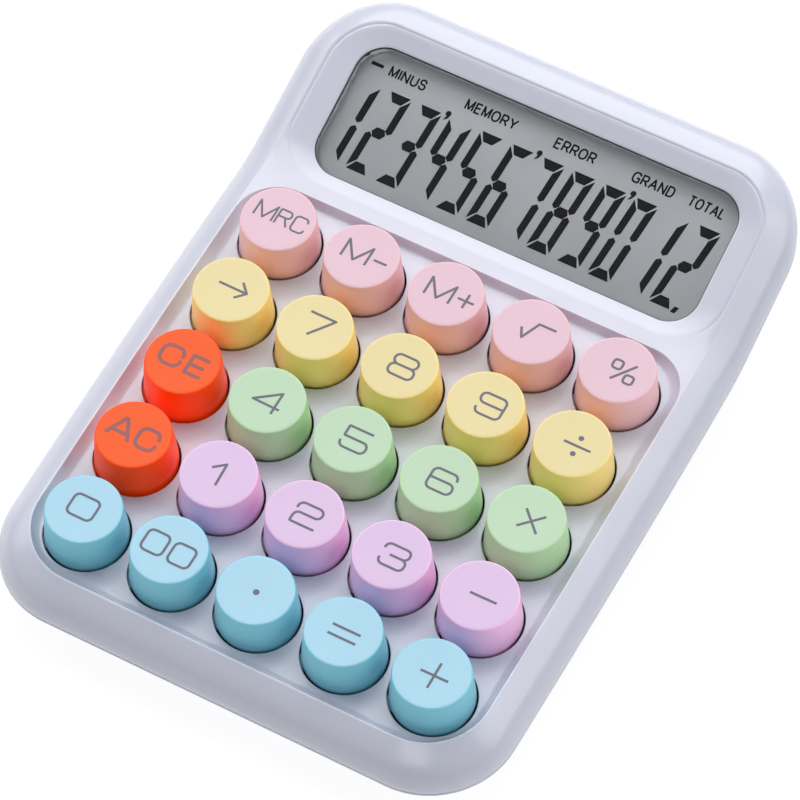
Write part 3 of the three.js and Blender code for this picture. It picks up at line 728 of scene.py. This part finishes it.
# ---------------------------------------------------------------- lower case
BAY = {"half_width": 25, "front": 50, "back": 66, "roof": 16, "wall": 1.6}
CELL_Y, CELL_Z = 58, 10.1
DOOR = {"half_width": 28, "front": 46.5, "thickness": 2.0}
TAB = {"x": 18, "half_width": 4, "reach": 4, "thickness": 1.0}
SCREW_PLACES = [(29.25, -29.25), (29.25, 9.75), (44, 52.3)]
SCREW_HEAD, SCREW_SHANK, SCREW_SEAT = 2.4, 1.2, -10.3
SHELL_SCREW = (SCREW_HEAD, 1.5, SCREW_SHANK, 7)      # head radius and height, shank radius and length
BOARD_SCREW = (2.0, 1.2, 0.9, 5)
BOARD_SCREW_X, BOARD_SCREW_Y, BOARD_SCREW_SEAT = 9.75, 29.25, -9.6
FOOT_RADIUS, FOOT_X, FOOT_YS = 5.5, 42, (-38 - CASE_CENTRE_Y, 77 - CASE_CENTRE_Y)
SIDES = (-1, 1)


def make_bottom_case():
    skin = Skin()
    edge = 0.25
    joint = PART_LEVEL - GAP
    belly = reversed(curve([(0, 0), (0.2, 0.9), (3.4, 5.0), (6.4, 6.2)], 12))
    levels = [(inward, joint - edge - down) for inward, down in belly]
    levels += [(edge * 0.3, joint - edge * 0.3), (edge, joint), (WALL, joint)]
    levels += [(WALL + 1.6, PART_LEVEL - 2.4), (WALL + 3.8, PART_LEVEL - 4.3), (8.2, PART_LEVEL - 5.0)]
    rings = [skin.ring(at_desk(case_outline(distance), height))
             for distance, height in ((9.2, BED_FLOOR), (8.6, 1.22), (8.0, 1.4), (7.4, 1.75))]
    rings += [skin.ring(at_level(case_outline(distance), level)) for distance, level in levels]
    rings.append(skin.ring(at_desk(case_outline(10.2), BED_FLOOR + WALL)))
    skin.closed(rings)
    bottom = skin.build("lower_case", sharp=50)
    half, front, back, roof, wall = BAY.values()
    door_half, door_front, door_thickness = DOOR.values()
    ceiling = BED_FLOOR + WALL
    added = [post(s * x, y, 4.0, desk_level(BED_FLOOR + 1, y), -7.3, matrix=DECK)
             for x, y in SCREW_PLACES for s in SIDES]
    added.append(block((-door_half - 4, door_front - TAB["reach"] - 3, ceiling - 0.4),
                       (door_half + 4, back, ceiling + 3)))
    added.append(block((-half - wall, front - wall, BED_FLOOR + 1), (half + wall, back + wall, roof + wall)))
    cut = [block((-half, front, -1), (half, back, roof))]
    cut.append(block((-door_half - GAP, door_front - GAP, -1),
                     (door_half + GAP, 90, BED_FLOOR + door_thickness + GAP)))
    for s in SIDES:
        left, right = s * TAB["x"] - TAB["half_width"] - GAP, s * TAB["x"] + TAB["half_width"] + GAP
        cut.append(block((left, door_front - TAB["reach"] - GAP, ceiling - 0.01),
                         (right, front + 1, ceiling + TAB["thickness"] + 2 * GAP)))
        bay_side = s * (half + wall / 2)
        cut.append(block((bay_side - wall, CELL_Y - 1.8, CELL_Z + 4.2),
                         (bay_side + wall, CELL_Y + 1.8, CELL_Z + 5.3)))
        for x, y in SCREW_PLACES:
            cut.append(post(s * x, y, SCREW_SHANK + GAP, SCREW_SEAT - 1, -6, matrix=DECK))
            cut.append(post(s * x, y, SCREW_HEAD + 0.4, desk_level(-3, y), SCREW_SEAT, matrix=DECK))
        cut += [post(s * FOOT_X, y, FOOT_RADIUS + GAP, -1, 2.3, 48) for y in FOOT_YS]
    carve(bottom, added, cut)
    paint(bottom, CASE)
    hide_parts("bottom_case")


make_bottom_case()


def make_feet():
    profile = [(0, 0.35), (3.2, 0.3), (3.9, 0.0)] + fillet(
        [(3.9, 0.0), (FOOT_RADIUS, 0.0), (FOOT_RADIUS, 2.0)], {1: 0.5})[1:] + [(0, 2.0)]
    verts, faces = lathe(profile, 64)
    for x, side in ((-FOOT_X, "left"), (FOOT_X, "right")):
        for y, end in zip(FOOT_YS, ("front", "rear")):
            foot = mesh_object(f"pad_{end}_{side}", verts, faces, Matrix.Translation((x, y, 0)), sharp=40)
            paint(foot, RUBBER)
            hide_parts(f"foot_{end}_{side}")


make_feet()


def make_screw(name, node, place, head, height, shank, length, matrix=DECK):
    """A pan-head screw with a cross recess, its shank pointing along the frame's Z."""
    profile = fillet([(0, -height), (head, -height), (head, 0), (shank, 0)], {1: height * 0.55})
    turns = int((length - 1.2) / 0.5)
    for i in range(turns):
        z = 0.15 + (length - 1.2) * i / turns
        profile += [(shank, z), (shank * 0.8, z + 0.22)]
    profile += [(shank * 0.7, length - 0.9), (0, length)]
    verts, faces = lathe(profile, 40)
    whole = matrix @ Matrix.Translation(place)
    screw = mesh_object(name, verts, faces, whole)
    arm, thin = head * 0.62, head * 0.16
    slot = [block((-arm, -thin, -height - 1), (arm, thin, -height * 0.45), matrix=whole),
            block((-thin, -arm, -height - 1), (thin, arm, -height * 0.45), matrix=whole)]
    carve(screw, cut=slot)
    paint(screw, STEEL)
    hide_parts(node)


for side_name, s in (("left", -1), ("right", 1)):
    for place_name, (x, y) in zip(("front", "middle", "rear"), SCREW_PLACES):
        make_screw(f"shell_screw_{place_name}_{side_name}", f"case_screw_{place_name}_{side_name}",
                   (s * x, y, SCREW_SEAT - GAP), *SHELL_SCREW)
    for place_name, y in (("front", -BOARD_SCREW_Y), ("rear", BOARD_SCREW_Y)):
        make_screw(f"circuit_screw_{place_name}_{side_name}", f"board_screw_{place_name}_{side_name}",
                   (s * BOARD_SCREW_X, y, BOARD_SCREW_SEAT), *BOARD_SCREW)


RIBS, RIB_START, RIB_PITCH = 6, 58.6, 1.7
RIB_HALF_LENGTH, RIB_HALF_WIDTH, RIB_DROP, RIB_ROOT = 9, 0.45, 0.32, 0.12


def make_door_grip():
    """Raised ribs on the battery door, for a thumb."""
    verts, faces = [], []
    angles = [math.pi * j / 8 for j in range(9)]
    section = [(-RIB_HALF_WIDTH, RIB_ROOT)]
    section += [(-RIB_HALF_WIDTH * math.cos(a), -RIB_DROP * math.sin(a)) for a in angles]
    section.append((RIB_HALF_WIDTH, RIB_ROOT))
    n = len(section)
    for i in range(RIBS):
        half = RIB_HALF_LENGTH - 0.35 * (i - (RIBS - 1) / 2) ** 2
        start = len(verts)
        for x in (-half, -half + 0.5, half - 0.5, half):
            shrink = 0.4 if abs(x) == half else 1.0
            verts += [(x, RIB_START + RIB_PITCH * i + dy, BED_FLOOR + (dz if dz > 0 else dz * shrink))
                      for dy, dz in section]
        for k in range(3):
            for j in range(n):
                a, b = start + k * n + j, start + k * n + (j + 1) % n
                faces.append((a, b, b + n, a + n))
        faces.append(tuple(range(start, start + n))[::-1])
        faces.append(tuple(range(start + 3 * n, start + 4 * n)))
    grip = mesh_object("door_grip", verts, faces, Matrix.Identity(4), "battery_door", 40)
    paint(grip, CASE)


make_door_grip()

# ---------------------------------------------------------------- keys
KEY_TOP_RADIUS, KEY_HEIGHT, KEY_DISH, KEY_BASE_RADIUS = 7.85, 9.3, 0.12, 8.55
EDGE_RADIUS = 0.4
KEY_CEILING, STEM_RADIUS, STEM_END = KEY_HEIGHT - 1.7, 2.1, -3.6
LUG_ROOT, LUG_REACH, LUG_HALF_WIDTH, LUG_THICKNESS = 7.9, 9.35, 1.8, 1.0


def dish_height(x, y):
    """Height of the hollowed key top, seen from its axis."""
    r = math.hypot(x, y) / (KEY_TOP_RADIUS - EDGE_RADIUS)
    return KEY_HEIGHT - KEY_DISH * (1 - min(r, 1.0) ** 2)


def key_profile():
    taper = (KEY_BASE_RADIUS - KEY_TOP_RADIUS) / KEY_HEIGHT
    rim = KEY_TOP_RADIUS - EDGE_RADIUS
    points = [(r, dish_height(r, 0)) for r in [rim * i / 14 for i in range(15)]]
    for i in range(1, 7):
        a = math.pi / 2 * i / 6
        points.append((rim + EDGE_RADIUS * math.sin(a), KEY_HEIGHT - EDGE_RADIUS * (1 - math.cos(a))))
    points += [(KEY_TOP_RADIUS + taper * h, KEY_HEIGHT - h) for h in (0.8, 1.6, 3.2, 5.0, 7.0, KEY_HEIGHT)]
    under = -WALL - GAP - LUG_THICKNESS
    points += [(8.3, -0.35), (8.12, -0.9), (8.12, under + 0.2), (7.97, under), (7.0, under)]
    points += [(6.4, KEY_CEILING - 0.2), (6.1, KEY_CEILING), (STEM_RADIUS + 0.2, KEY_CEILING)]
    points += [(STEM_RADIUS, KEY_CEILING - 0.3), (STEM_RADIUS, STEM_END + 0.2)]
    return points + [(STEM_RADIUS - 0.2, STEM_END), (0, STEM_END)]


def make_keys():
    verts, faces = lathe(key_profile(), 120)
    faces = [f[::-1] for f in faces]
    low, high = -WALL - GAP - LUG_THICKNESS, -WALL - GAP
    for name, colour, x, y in KEYS:
        place = DECK @ Matrix.Translation((x, y, 0))
        cap = mesh_object(f"cap_{name}", verts, faces, place, f"key_{name}", 50)
        lugs = []
        for i in range(3):
            turn = Matrix.Rotation(2 * math.pi * i / 3, 4, "Z")
            lugs.append(block((-LUG_HALF_WIDTH, LUG_ROOT, low + 0.02), (LUG_HALF_WIDTH, LUG_REACH, high),
                              matrix=place @ turn))
        carve(cap, added=lugs)
        cap.data.set_sharp_from_angle(angle=math.radians(50))
        paint(cap, KEY_PLASTIC[colour])
        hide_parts(f"key_{name}")


make_keys()


# ---------------------------------------------------------------- printing: legends and display segments
def polygon_union(polygons):
    """Triangles that cover the union of simple polygons, and the vertices they share."""
    coords, faces = [], []
    for polygon in polygons:
        area = sum(a[0] * b[1] - b[0] * a[1] for a, b in zip(polygon, polygon[1:] + polygon[:1]))
        polygon = polygon if area > 0 else polygon[::-1]
        faces.append(list(range(len(coords), len(coords) + len(polygon))))
        coords += [Vector(p) for p in polygon]
    found, _, triangles, _, _, owners = delaunay_2d_cdt(coords, [], faces, 0, 1e-5)
    return [tuple(v) for v in found], [tuple(t) for t, own in zip(triangles, owners) if own]


def slab(points, triangles, top, depth):
    """A thin solid under a triangulated outline, whose upper face follows top(x, y)."""
    n = len(points)
    verts = [(x, y, top(x, y)) for x, y in points] + [(x, y, top(x, y) - depth) for x, y in points]
    faces = [tuple(t) for t in triangles] + [tuple(i + n for i in t[::-1]) for t in triangles]
    edges = {}
    for t in triangles:
        for a, b in zip(t, t[1:] + t[:1]):
            edges[(a, b)] = edges.get((a, b), 0) + 1
    faces += [(b, a, a + n, b + n) for a, b in edges if (b, a) not in edges]
    return verts, faces


def strokes(lines, width):
    """Polygons for lines of one width: a list of (points, closed) pairs."""
    out = []
    half = width / 2
    for points, closed in lines:
        pts = [Vector(p) for p in points]
        pairs = list(zip(pts, pts[1:])) + ([(pts[-1], pts[0])] if closed else [])
        for a, b in pairs:
            along = (b - a).normalized()
            side = Vector((-along.y, along.x)) * half
            out.append([tuple(a - side), tuple(b - side), tuple(b + side), tuple(a + side)])
        joints = pts if closed else pts[1:-1]
        out += [circle(p.x, p.y, half, 14) for p in joints]
    return out


def line(*points):
    """An open line with sharp corners."""
    return list(points), False


def soft(points, radius, closed=False):
    """A line with its corners rounded; a radius may be given for each corner."""
    n = len(points)
    radii = radius if isinstance(radius, dict) else {
        i: radius for i in range(n) if closed or 0 < i < n - 1
    }
    return fillet(points, radii, 5), closed


def legend_lines(name):
    """Centre lines of each key's legend, in millimetres from the key's centre."""
    r = 1.15

    def digit(symbol, x0, x1, y0, y1):
        m = (y0 + y1) / 2 + 0.1
        return {
            "0": [soft([(x0, y0), (x1, y0), (x1, y1), (x0, y1)], r, True)],
            "1": [soft([(x0, y1 - 2.0), (x1 - 0.1, y1), (x1, y0)], 0.2)],
            "2": [soft([(x0, y1 - 1.6), (x0, y1), (x1, y1), (x1, m), (x0, m), (x0, y0), (x1, y0)],
                       {1: r, 2: r, 3: r, 4: r, 5: 0.15})],
            "3": [soft([(x0, y1 - 1.4), (x0, y1), (x1, y1), (x1, m), (x0 + 1.6, m)], r * 0.95),
                  soft([(x1 - 1.6, m), (x1, m), (x1, y0), (x0, y0), (x0, y0 + 1.4)], r * 0.95)],
            "5": [soft([(x1 - 0.1, y1), (x0 + 0.2, y1), (x0 + 0.2, m), (x1, m), (x1, y0), (x0, y0),
                        (x0, y0 + 1.3)], {1: 0.15, 2: 0.15, 3: r, 4: r, 5: r})],
            "6": [soft([(x1 - 0.1, y1 - 1.4), (x1 - 0.1, y1), (x0, y1), (x0, y0), (x1, y0), (x1, m), (x0, m)],
                       {1: r, 2: r, 3: r, 4: r, 5: r})],
            "8": [soft([(x0 + 0.15, m), (x1 - 0.15, m), (x1 - 0.15, y1), (x0 + 0.15, y1)], r, True),
                  soft([(x0, y0), (x1, y0), (x1, m), (x0, m)], r, True)],
            "9": [soft([(x0 + 0.1, y0 + 1.4), (x0 + 0.1, y0), (x1, y0), (x1, y1), (x0, y1), (x0, m), (x1, m)],
                       {1: r, 2: r, 3: r, 4: r, 5: r})],
        }[symbol]

    def m_shape(x0, x1, y0, y1):
        return [line((x0, y0), (x0, y1), ((x0 + x1) / 2, y0 + 0.15), (x1, y1), (x1, y0))]

    def c_shape(x0, x1, y0, y1, radius=1.0, tip=1.2):
        return [soft([(x1, y1 - tip), (x1, y1), (x0, y1), (x0, y0), (x1, y0), (x1, y0 + tip)], radius)]

    table = {
        "mrc": m_shape(-5.3, -1.25, -1.2, 2.6) + [
            line((-0.5, -1.2), (-0.5, 2.6)),
            soft([(-0.5, 2.6), (2.2, 2.6), (2.2, 0.85), (-0.5, 0.85)], {1: 0.75, 2: 0.75}),
            line((1.1, 0.85), (2.25, -1.2)),
        ] + c_shape(3.1, 5.95, -1.2, 2.6, 0.8, 0.95),
        "m_minus": m_shape(-4.05, 1.45, -1.75, 2.65) + [line((2.6, 0.3), (5.6, 0.3))],
        "m_plus": m_shape(-4.15, 1.35, -2.0, 2.4) + [
            line((2.6, 0.2), (6.25, 0.2)), line((4.45, 2.0), (4.45, -1.6))],
        "sqrt": [line((-2.3, 0.2), (-1.2, -2.1), (0.7, 2.3), (4.5, 2.3))],
        "percent": [
            soft([(-1.55, 0.2), (0.45, 0.2), (0.45, 2.3), (-1.55, 2.3)], 0.65, True),
            soft([(1.95, -2.15), (3.95, -2.15), (3.95, -0.15), (1.95, -0.15)], 0.65, True),
            line((-0.55, -2.45), (3.2, 2.55)),
        ],
        "arrow": [line((-3.1, 0.55), (3.2, 0.5)), line((1.4, 2.6), (3.35, 0.5), (1.4, -1.5))],
        "7": [line((-2.55, 3.05), (3.2, 3.05), (-0.75, -2.2))],
        "8": digit("8", -1.95, 3.55, -2.4, 2.6),
        "9": digit("9", -1.7, 3.85, -2.45, 2.65),
        "divide": [line((-1.9, -0.1), (4.05, -0.1))],
        "ce": c_shape(-5.0, -0.4, -2.0, 2.5, 1.6, 1.4) + [
            line((5.0, 2.3), (1.4, 2.3), (1.4, -2.0), (5.0, -2.0)), line((1.4, 0.15), (4.8, 0.15))],
        "4": [line((2.15, -2.6), (2.15, 2.65), (-2.75, -0.95), (3.3, -1.1))],
        "5": digit("5", -2.15, 3.5, -2.45, 2.6),
        "6": digit("6", -1.95, 3.55, -2.75, 2.2),
        "multiply": [line((-1.1, -2.3), (3.25, 2.1)), line((-1.1, 2.1), (3.25, -2.3))],
        "ac": [
            line((-5.4, -2.1), (-3.1, 2.6), (-2.7, 2.6), (-0.3, -2.1)),
            line((-4.4, -0.7), (-1.3, -0.7)),
        ] + c_shape(0.9, 5.2, -2.1, 2.6, 1.5, 1.4),
        "1": [line((-1.95, 0.75), (0.4, 2.65), (0.65, -2.6))],
        "2": digit("2", -2.05, 3.4, -2.55, 2.3),
        "3": digit("3", -1.95, 3.5, -2.75, 2.2),
        "minus": [line((-2.05, -0.2), (3.8, -0.15))],
        "0": digit("0", -3.05, 2.55, -2.05, 2.85),
        "00": digit("0", -5.55, -0.8, -2.3, 2.6) + digit("0", 0.55, 5.3, -2.45, 2.35),
        "point": [],
        "equals": [line((-2.7, 0.7), (3.45, 0.7)), line((-2.7, -1.45), (3.45, -1.45))],
        "plus": [line((-2.35, -0.25), (3.65, -0.2)), line((0.6, 2.8), (0.65, -3.2))],
    }
    return table[name]


LEGEND_DOTS = {"divide": [(1.0, 1.85, 0.58), (1.1, -2.05, 0.58)], "point": [(0.3, -0.3, 0.65)]}
LEGEND_WIDTH = {"mrc": 0.45, "ce": 0.8, "ac": 0.8}
USUAL_WIDTH, INK_RISE, INK_DEPTH = 0.54, 0.025, 0.08


def make_legends():
    for name, colour, x, y in KEYS:
        shapes = strokes(legend_lines(name), LEGEND_WIDTH.get(name, USUAL_WIDTH))
        shapes += [circle(cx, cy, r, 32) for cx, cy, r in LEGEND_DOTS.get(name, [])]
        points, triangles = polygon_union(shapes)
        verts, faces = slab(points, triangles, lambda px, py: dish_height(px, py) + INK_RISE, INK_DEPTH)
        legend = mesh_object(
            f"legend_{name}", verts, faces, DECK @ Matrix.Translation((x, y, 0)), f"key_{name}", 40)
        paint(legend, INK_DARK if colour == "orange" else INK)


make_legends()

# ---------------------------------------------------------------- display
GLASS_TOP = -3.6
SEGMENT_SLANT = 0.059
CELL_PITCH, CELL_START, CELL_MIDDLE = 7.24, -41.28, -2.05
CONTENT_SCALE, CONTENT_LEAN, CONTENT_SPREAD, CONTENT_DROP = (0.991, 1.009), 0.041, 0.00089, 0.31
GLASS = (45.6, 16.3, 1.2)       # half width, half length, corner radius
FLANGE = (45.9, 16.6, 1.5)
CELL_HALF_WIDTH, CELL_HALF_HEIGHT, BAR = 2.65, 9.35, 1.6
SEGMENTS = {
    "0": "abcdef", "1": "bc", "2": "abged", "3": "abgcd", "4": "fgbc", "5": "afgcd", "6": "afgedc",
    "7": "abc", "8": "abcdefg", "9": "abfgcd",
}
SHOWN = "123456789012"
WORDS = {       # left and right ends
    "MINUS": (-38.07, -29.77), "MEMORY": (-19.97, -8.27), "ERROR": (0.98, 10.03),
    "GRAND": (19.03, 28.23), "TOTAL": (31.93, 39.83),
}
WORD_LOW, WORD_HIGH, WORD_WIDTH = 10.15, 12.25, 0.4
THOUSANDS = (-22.45, -0.95, 20.9)
POINT = [(40.45, -11.75), (41.5, -11.75), (41.9, -10.35), (40.85, -10.35)]
MINUS = [(-42.65, 11.0), (-39.85, 11.0), (-39.85, 11.75), (-42.65, 11.75)]


def segment(letter):
    """Outline of one display segment, upright, from its cell's centre."""
    w, h, b = CELL_HALF_WIDTH, CELL_HALF_HEIGHT, BAR
    upper = [(w, h - 0.5), (w - b, h - 2.5), (w - b, 0.95), (w - b / 2, 0.3), (w, 0.95)]
    cap = [(-w + 0.3, h), (w - 0.3, h), (w - 1.6, h - 2.1), (-w + 1.6, h - 2.1)]
    return {
        "a": cap,
        "b": upper,
        "c": [(x, -y) for x, y in upper],
        "d": [(x, -y) for x, y in cap],
        "e": [(-x, -y) for x, y in upper],
        "f": [(-x, y) for x, y in upper],
        "g": [(-1.6, 0), (-0.9, 1.15), (0.9, 1.15), (1.6, 0), (0.9, -1.15), (-0.9, -1.15)],
    }[letter]


LETTERS = {     # width, then strokes in a box as high as 1
    "A": (0.86, [line((0, 0), (0.43, 1), (0.86, 0)), line((0.16, 0.36), (0.7, 0.36))]),
    "D": (0.72, [soft([(0, 0), (0, 1), (0.72, 1), (0.72, 0)], {2: 0.36, 3: 0.36}, True)]),
    "E": (0.62, [line((0.62, 1), (0, 1), (0, 0), (0.62, 0)), line((0, 0.53), (0.56, 0.53))]),
    "G": (0.82, [soft([(0.8, 0.74), (0.74, 1), (0, 1), (0, 0), (0.8, 0), (0.8, 0.46), (0.46, 0.46)],
                      {1: 0.24, 2: 0.38, 3: 0.38, 4: 0.1})]),
    "I": (0.0, [line((0, 0), (0, 1))]),
    "L": (0.56, [line((0, 1), (0, 0), (0.56, 0))]),
    "M": (0.84, [line((0, 0), (0, 1), (0.42, 0.08), (0.84, 1), (0.84, 0))]),
    "N": (0.74, [line((0, 0), (0, 1), (0.74, 0), (0.74, 1))]),
    "O": (0.84, [soft([(0, 0), (0.84, 0), (0.84, 1), (0, 1)], 0.4, True)]),
    "R": (0.7, [soft([(0, 0), (0, 1), (0.68, 1), (0.68, 0.47), (0, 0.47)], {2: 0.24, 3: 0.24}),
                line((0.38, 0.47), (0.74, 0))]),
    "S": (0.68, [soft([(0.64, 0.74), (0.62, 1), (0.02, 1), (0.04, 0.54), (0.66, 0.5), (0.66, 0), (0.02, 0),
                       (0, 0.28)], {1: 0.25, 2: 0.24, 3: 0.2, 4: 0.22, 5: 0.24, 6: 0.25})]),
    "T": (0.72, [line((0, 1), (0.72, 1)), line((0.36, 1), (0.36, 0))]),
    "U": (0.74, [soft([(0, 1), (0, 0), (0.74, 0), (0.74, 1)], 0.34)]),
    "Y": (0.82, [line((0, 1), (0.41, 0.42), (0.82, 1)), line((0.41, 0.42), (0.41, 0))]),
}


def word_lines(word, x0, x1, y0, y1):
    """Strokes of a word set between two sides of a box."""
    space = 0.34
    total = sum(LETTERS[c][0] for c in word) + space * (len(word) - 1)
    scale, height, place, out = (x1 - x0) / total, y1 - y0, 0.0, []
    for c in word:
        width, lines = LETTERS[c]
        for points, closed in lines:
            out.append(([(x0 + (place + p[0]) * scale, y0 + p[1] * height) for p in points], closed))
        place += width + space
    return out


def make_display():
    # The liquid-crystal cell: a glass plate with slightly rounded edges.
    skin = Skin()

    def plate_ring(plate, d, z):
        half_width, half_length, radius = plate
        points = outline(half_width - d, d - half_length, half_length - d, radius, radius)
        return skin.ring((x, y, z) for x, y in points)

    glass = [plate_ring(GLASS, d, z) for d, z in (
        (0.25, GLASS_TOP - 2.0), (0.0, GLASS_TOP - 1.8), (0.0, GLASS_TOP - 0.15), (0.15, GLASS_TOP))]
    skin.closed(glass)
    panel = skin.build("display_cell", HEAD, sharp=40)
    paint(panel, DISPLAY)
    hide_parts("lcd_glass")

    # The clear window: a flange behind the case and a raised middle that fills the opening.
    skin = Skin()
    lens = [plate_ring(FLANGE, d, z) for d, z in ((0.1, -3.3), (0.0, -3.2), (0.0, -2.4), (0.1, -2.3))]
    lens += [skin.ring((x, y, z) for x, y in window_outline(g)) for g, z in (
        (-0.05, -2.3), (-0.05, LIP_LEVEL - 0.9), (-0.12, LIP_LEVEL - 0.82))]
    skin.closed(lens)
    window = skin.build("window_lens", HEAD, sharp=40)
    paint(window, CLEAR)
    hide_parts("display_window")

    # A dark ring round the window's edge: painted shade, a dark piece that stands for the shaded inner wall
    # of the opening.
    skin = Skin()
    shade_loops = [
        skin.ring((x, y, LIP_LEVEL + z) for x, y in window_outline(g))
        for g, z in ((0.05, -0.3), (-0.14, -0.34), (-0.2, -0.41), (-0.2, -0.7), (-0.16, -0.76), (0.05, -0.79))
    ]
    skin.bands(shade_loops + shade_loops[:1], flip=True)
    # painted shade: dark rubber where the opening's wall lies in shade
    painted_shade_ring = skin.build("window_painted_shade_ring", HEAD, sharp=50)
    paint(painted_shade_ring, RUBBER)

    # Segments, words and marks.
    polygons = []

    def lean(points, cx, cy):
        return [(cx + x + SEGMENT_SLANT * y, cy + y) for x, y in points]

    for i, symbol in enumerate(SHOWN):
        for letter in SEGMENTS[symbol]:
            polygons.append(lean(segment(letter), CELL_START + CELL_PITCH * i, CELL_MIDDLE))
    for x in THOUSANDS:
        polygons.append(circle(x, 7.75, 0.62, 20))
        polygons.append([(x - 0.1, 7.3), (x + 0.6, 7.6), (x + 0.2, 6.6), (x - 0.55, 6.05), (x - 0.45, 6.4)])
    polygons += [POINT, MINUS]
    for word, (left, right) in WORDS.items():
        polygons += strokes(word_lines(word, left, right, WORD_LOW, WORD_HIGH), WORD_WIDTH)
    points, triangles = polygon_union(polygons)
    wide, high = CONTENT_SCALE
    points = [(x * (wide + CONTENT_SPREAD * y) + CONTENT_LEAN * y, high * y - CONTENT_DROP)
              for x, y in points]
    verts, faces = slab(points, triangles, lambda x, y: GLASS_TOP + 0.04, INK_DEPTH)
    marks = mesh_object("display_segments", verts, faces, HEAD, sharp=40)
    paint(marks, SEGMENT_INK)


make_display()

# ---------------------------------------------------------------- dome sheet
SHEET_TOP, SHEET_THICKNESS, DOME_TOP = -6.6, 0.8, -3.9
SHEET_OUTLINE = (46, -44.5, 45.5, 3, 3)


def make_dome_sheet():
    skin = Skin()
    points = outline(*SHEET_OUTLINE)
    rim = [skin.ring((x, y, z) for x, y in points) for z in (SHEET_TOP - SHEET_THICKNESS, SHEET_TOP)]
    skin.bands(rim)
    holes = [circle(s * x, y, 4.6, 32) for s in SIDES for x, y in SCREW_PLACES if y < 45]
    holes += [circle(s * BOARD_SCREW_X, t * BOARD_SCREW_Y, 2.7, 32) for s in SIDES for t in SIDES]
    low = [skin.ring((x, y, SHEET_TOP - SHEET_THICKNESS) for x, y in h) for h in holes]
    high = [skin.ring((x, y, SHEET_TOP) for x, y in h) for h in holes]
    for a, b in zip(low, high):
        skin.band(a, b, flip=True)
    skin.sheet([rim[1]] + high, lambda x, y: SHEET_TOP)
    skin.sheet([rim[0]] + low, lambda x, y: SHEET_TOP - SHEET_THICKNESS, flip=True)
    sheet = skin.build("silicone_sheet", sharp=40)
    paint(sheet, SILICONE)
    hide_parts("dome_sheet")

    outside = [(0, DOME_TOP), (2.4, DOME_TOP), (3.5, -5.4), (4.4, SHEET_TOP), (5.0, SHEET_TOP)]
    outside = fillet(outside, {1: 0.5, 3: 0.3}, 4) + [(5.0, SHEET_TOP - 0.02)]
    inner = [(3.9, SHEET_TOP - 0.02), (3.1, -5.6), (1.7, DOME_TOP - 0.9), (0, DOME_TOP - 0.9)]
    verts, faces = lathe(outside + inner, 48)
    faces = [f[::-1] for f in faces]
    for name, _, x, y in KEYS:
        dome = mesh_object(f"dome_{name}", verts, faces, DECK @ Matrix.Translation((x, y, 0)), sharp=50)
        paint(dome, SILICONE)
        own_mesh(dome)


make_dome_sheet()

# ---------------------------------------------------------------- carried-over pieces
CARRIED = {
    "battery_door": CASE, "lcd_holder": HOLDER, "lcd_ribbon": AMBER, "main_board": BOARD,
    "controller_chip": RESIN, "aaa_cell": SLEEVE, "battery_contact_plate": STEEL,
    "battery_contact_spring": STEEL, "battery_lead_red": WIRE_RED, "battery_lead_black": WIRE_BLACK,
    "holder_screw_left": STEEL, "holder_screw_right": STEEL,
}
for node, material in CARRIED.items():
    paint(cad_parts[node], material)

# ---------------------------------------------------------------- stage, camera and light
CAMERA_LENS = 202.41
CAMERA_PLACE = (0.244201, -0.469251, 0.759903)      # metres
CAMERA_TURN = (35.34789, -0.77290, 28.66303)        # degrees
LIGHT_TARGET = (0, 0, 0.02)
LIGHTS = {      # place and size in metres, power in watts
    "overhead_light": ((-0.3, 0.68, 1.1), 1.4, 17.4),
    "back_light": ((-0.55, 0.95, 0.95), 1.0, 1.2),
    "right_light": ((0.95, 0.35, 0.75), 0.8, 4.7),
    "left_light": ((-1.0, 0.1, 0.7), 0.8, 3.7),
    "front_light": ((0.15, -0.85, 0.95), 0.5, 2.3),
}


def make_camera():
    data = bpy.data.cameras.new("camera")
    data.sensor_width = 36
    data.lens = CAMERA_LENS
    camera = bpy.data.objects.new("camera", data)
    camera.location = CAMERA_PLACE
    camera.rotation_euler = [math.radians(a) for a in CAMERA_TURN]
    data.clip_start, data.clip_end = 0.05, 20
    bpy.context.scene.collection.objects.link(camera)
    bpy.context.scene.camera = camera


def make_light(name, place, size, power):
    data = bpy.data.lights.new(name, "AREA")
    data.energy = power
    data.size = size
    lamp = bpy.data.objects.new(name, data)
    towards = (Vector(LIGHT_TARGET) - Vector(place)).normalized()
    turn = towards.to_track_quat("-Z", "Y").to_matrix().to_4x4()
    lamp.matrix_world = Matrix.Translation(place) @ turn
    bpy.context.scene.collection.objects.link(lamp)


def make_floor():
    bpy.ops.mesh.primitive_plane_add(size=6, location=(0, 0, -0.0002))
    floor = bpy.context.object
    floor.name = "floor"
    n = Nodes("floor_paper")
    n.drive("Base Color", n.ramp(n.noise(6, 2.0), [
        (0.3, (0.13, 0.13, 0.135, 1)), (0.7, (0.15, 0.15, 0.155, 1))]))
    n.fix("Roughness", 0.9)
    n.fix("Emission Color", (1, 1, 1, 1))
    n.fix("Emission Strength", 0.88)
    floor.data.materials.append(n.material)


def make_world():
    world = bpy.data.worlds.new("studio")
    world.use_nodes = True
    background = world.node_tree.nodes["Background"]
    background.inputs["Color"].default_value = (0.93, 0.94, 1.0, 1)
    background.inputs["Strength"].default_value = 0.3
    bpy.context.scene.world = world
    bpy.context.scene.view_settings.view_transform = "Standard"


make_camera()
make_floor()
make_world()
for light, settings in LIGHTS.items():
    make_light(light, *settings)
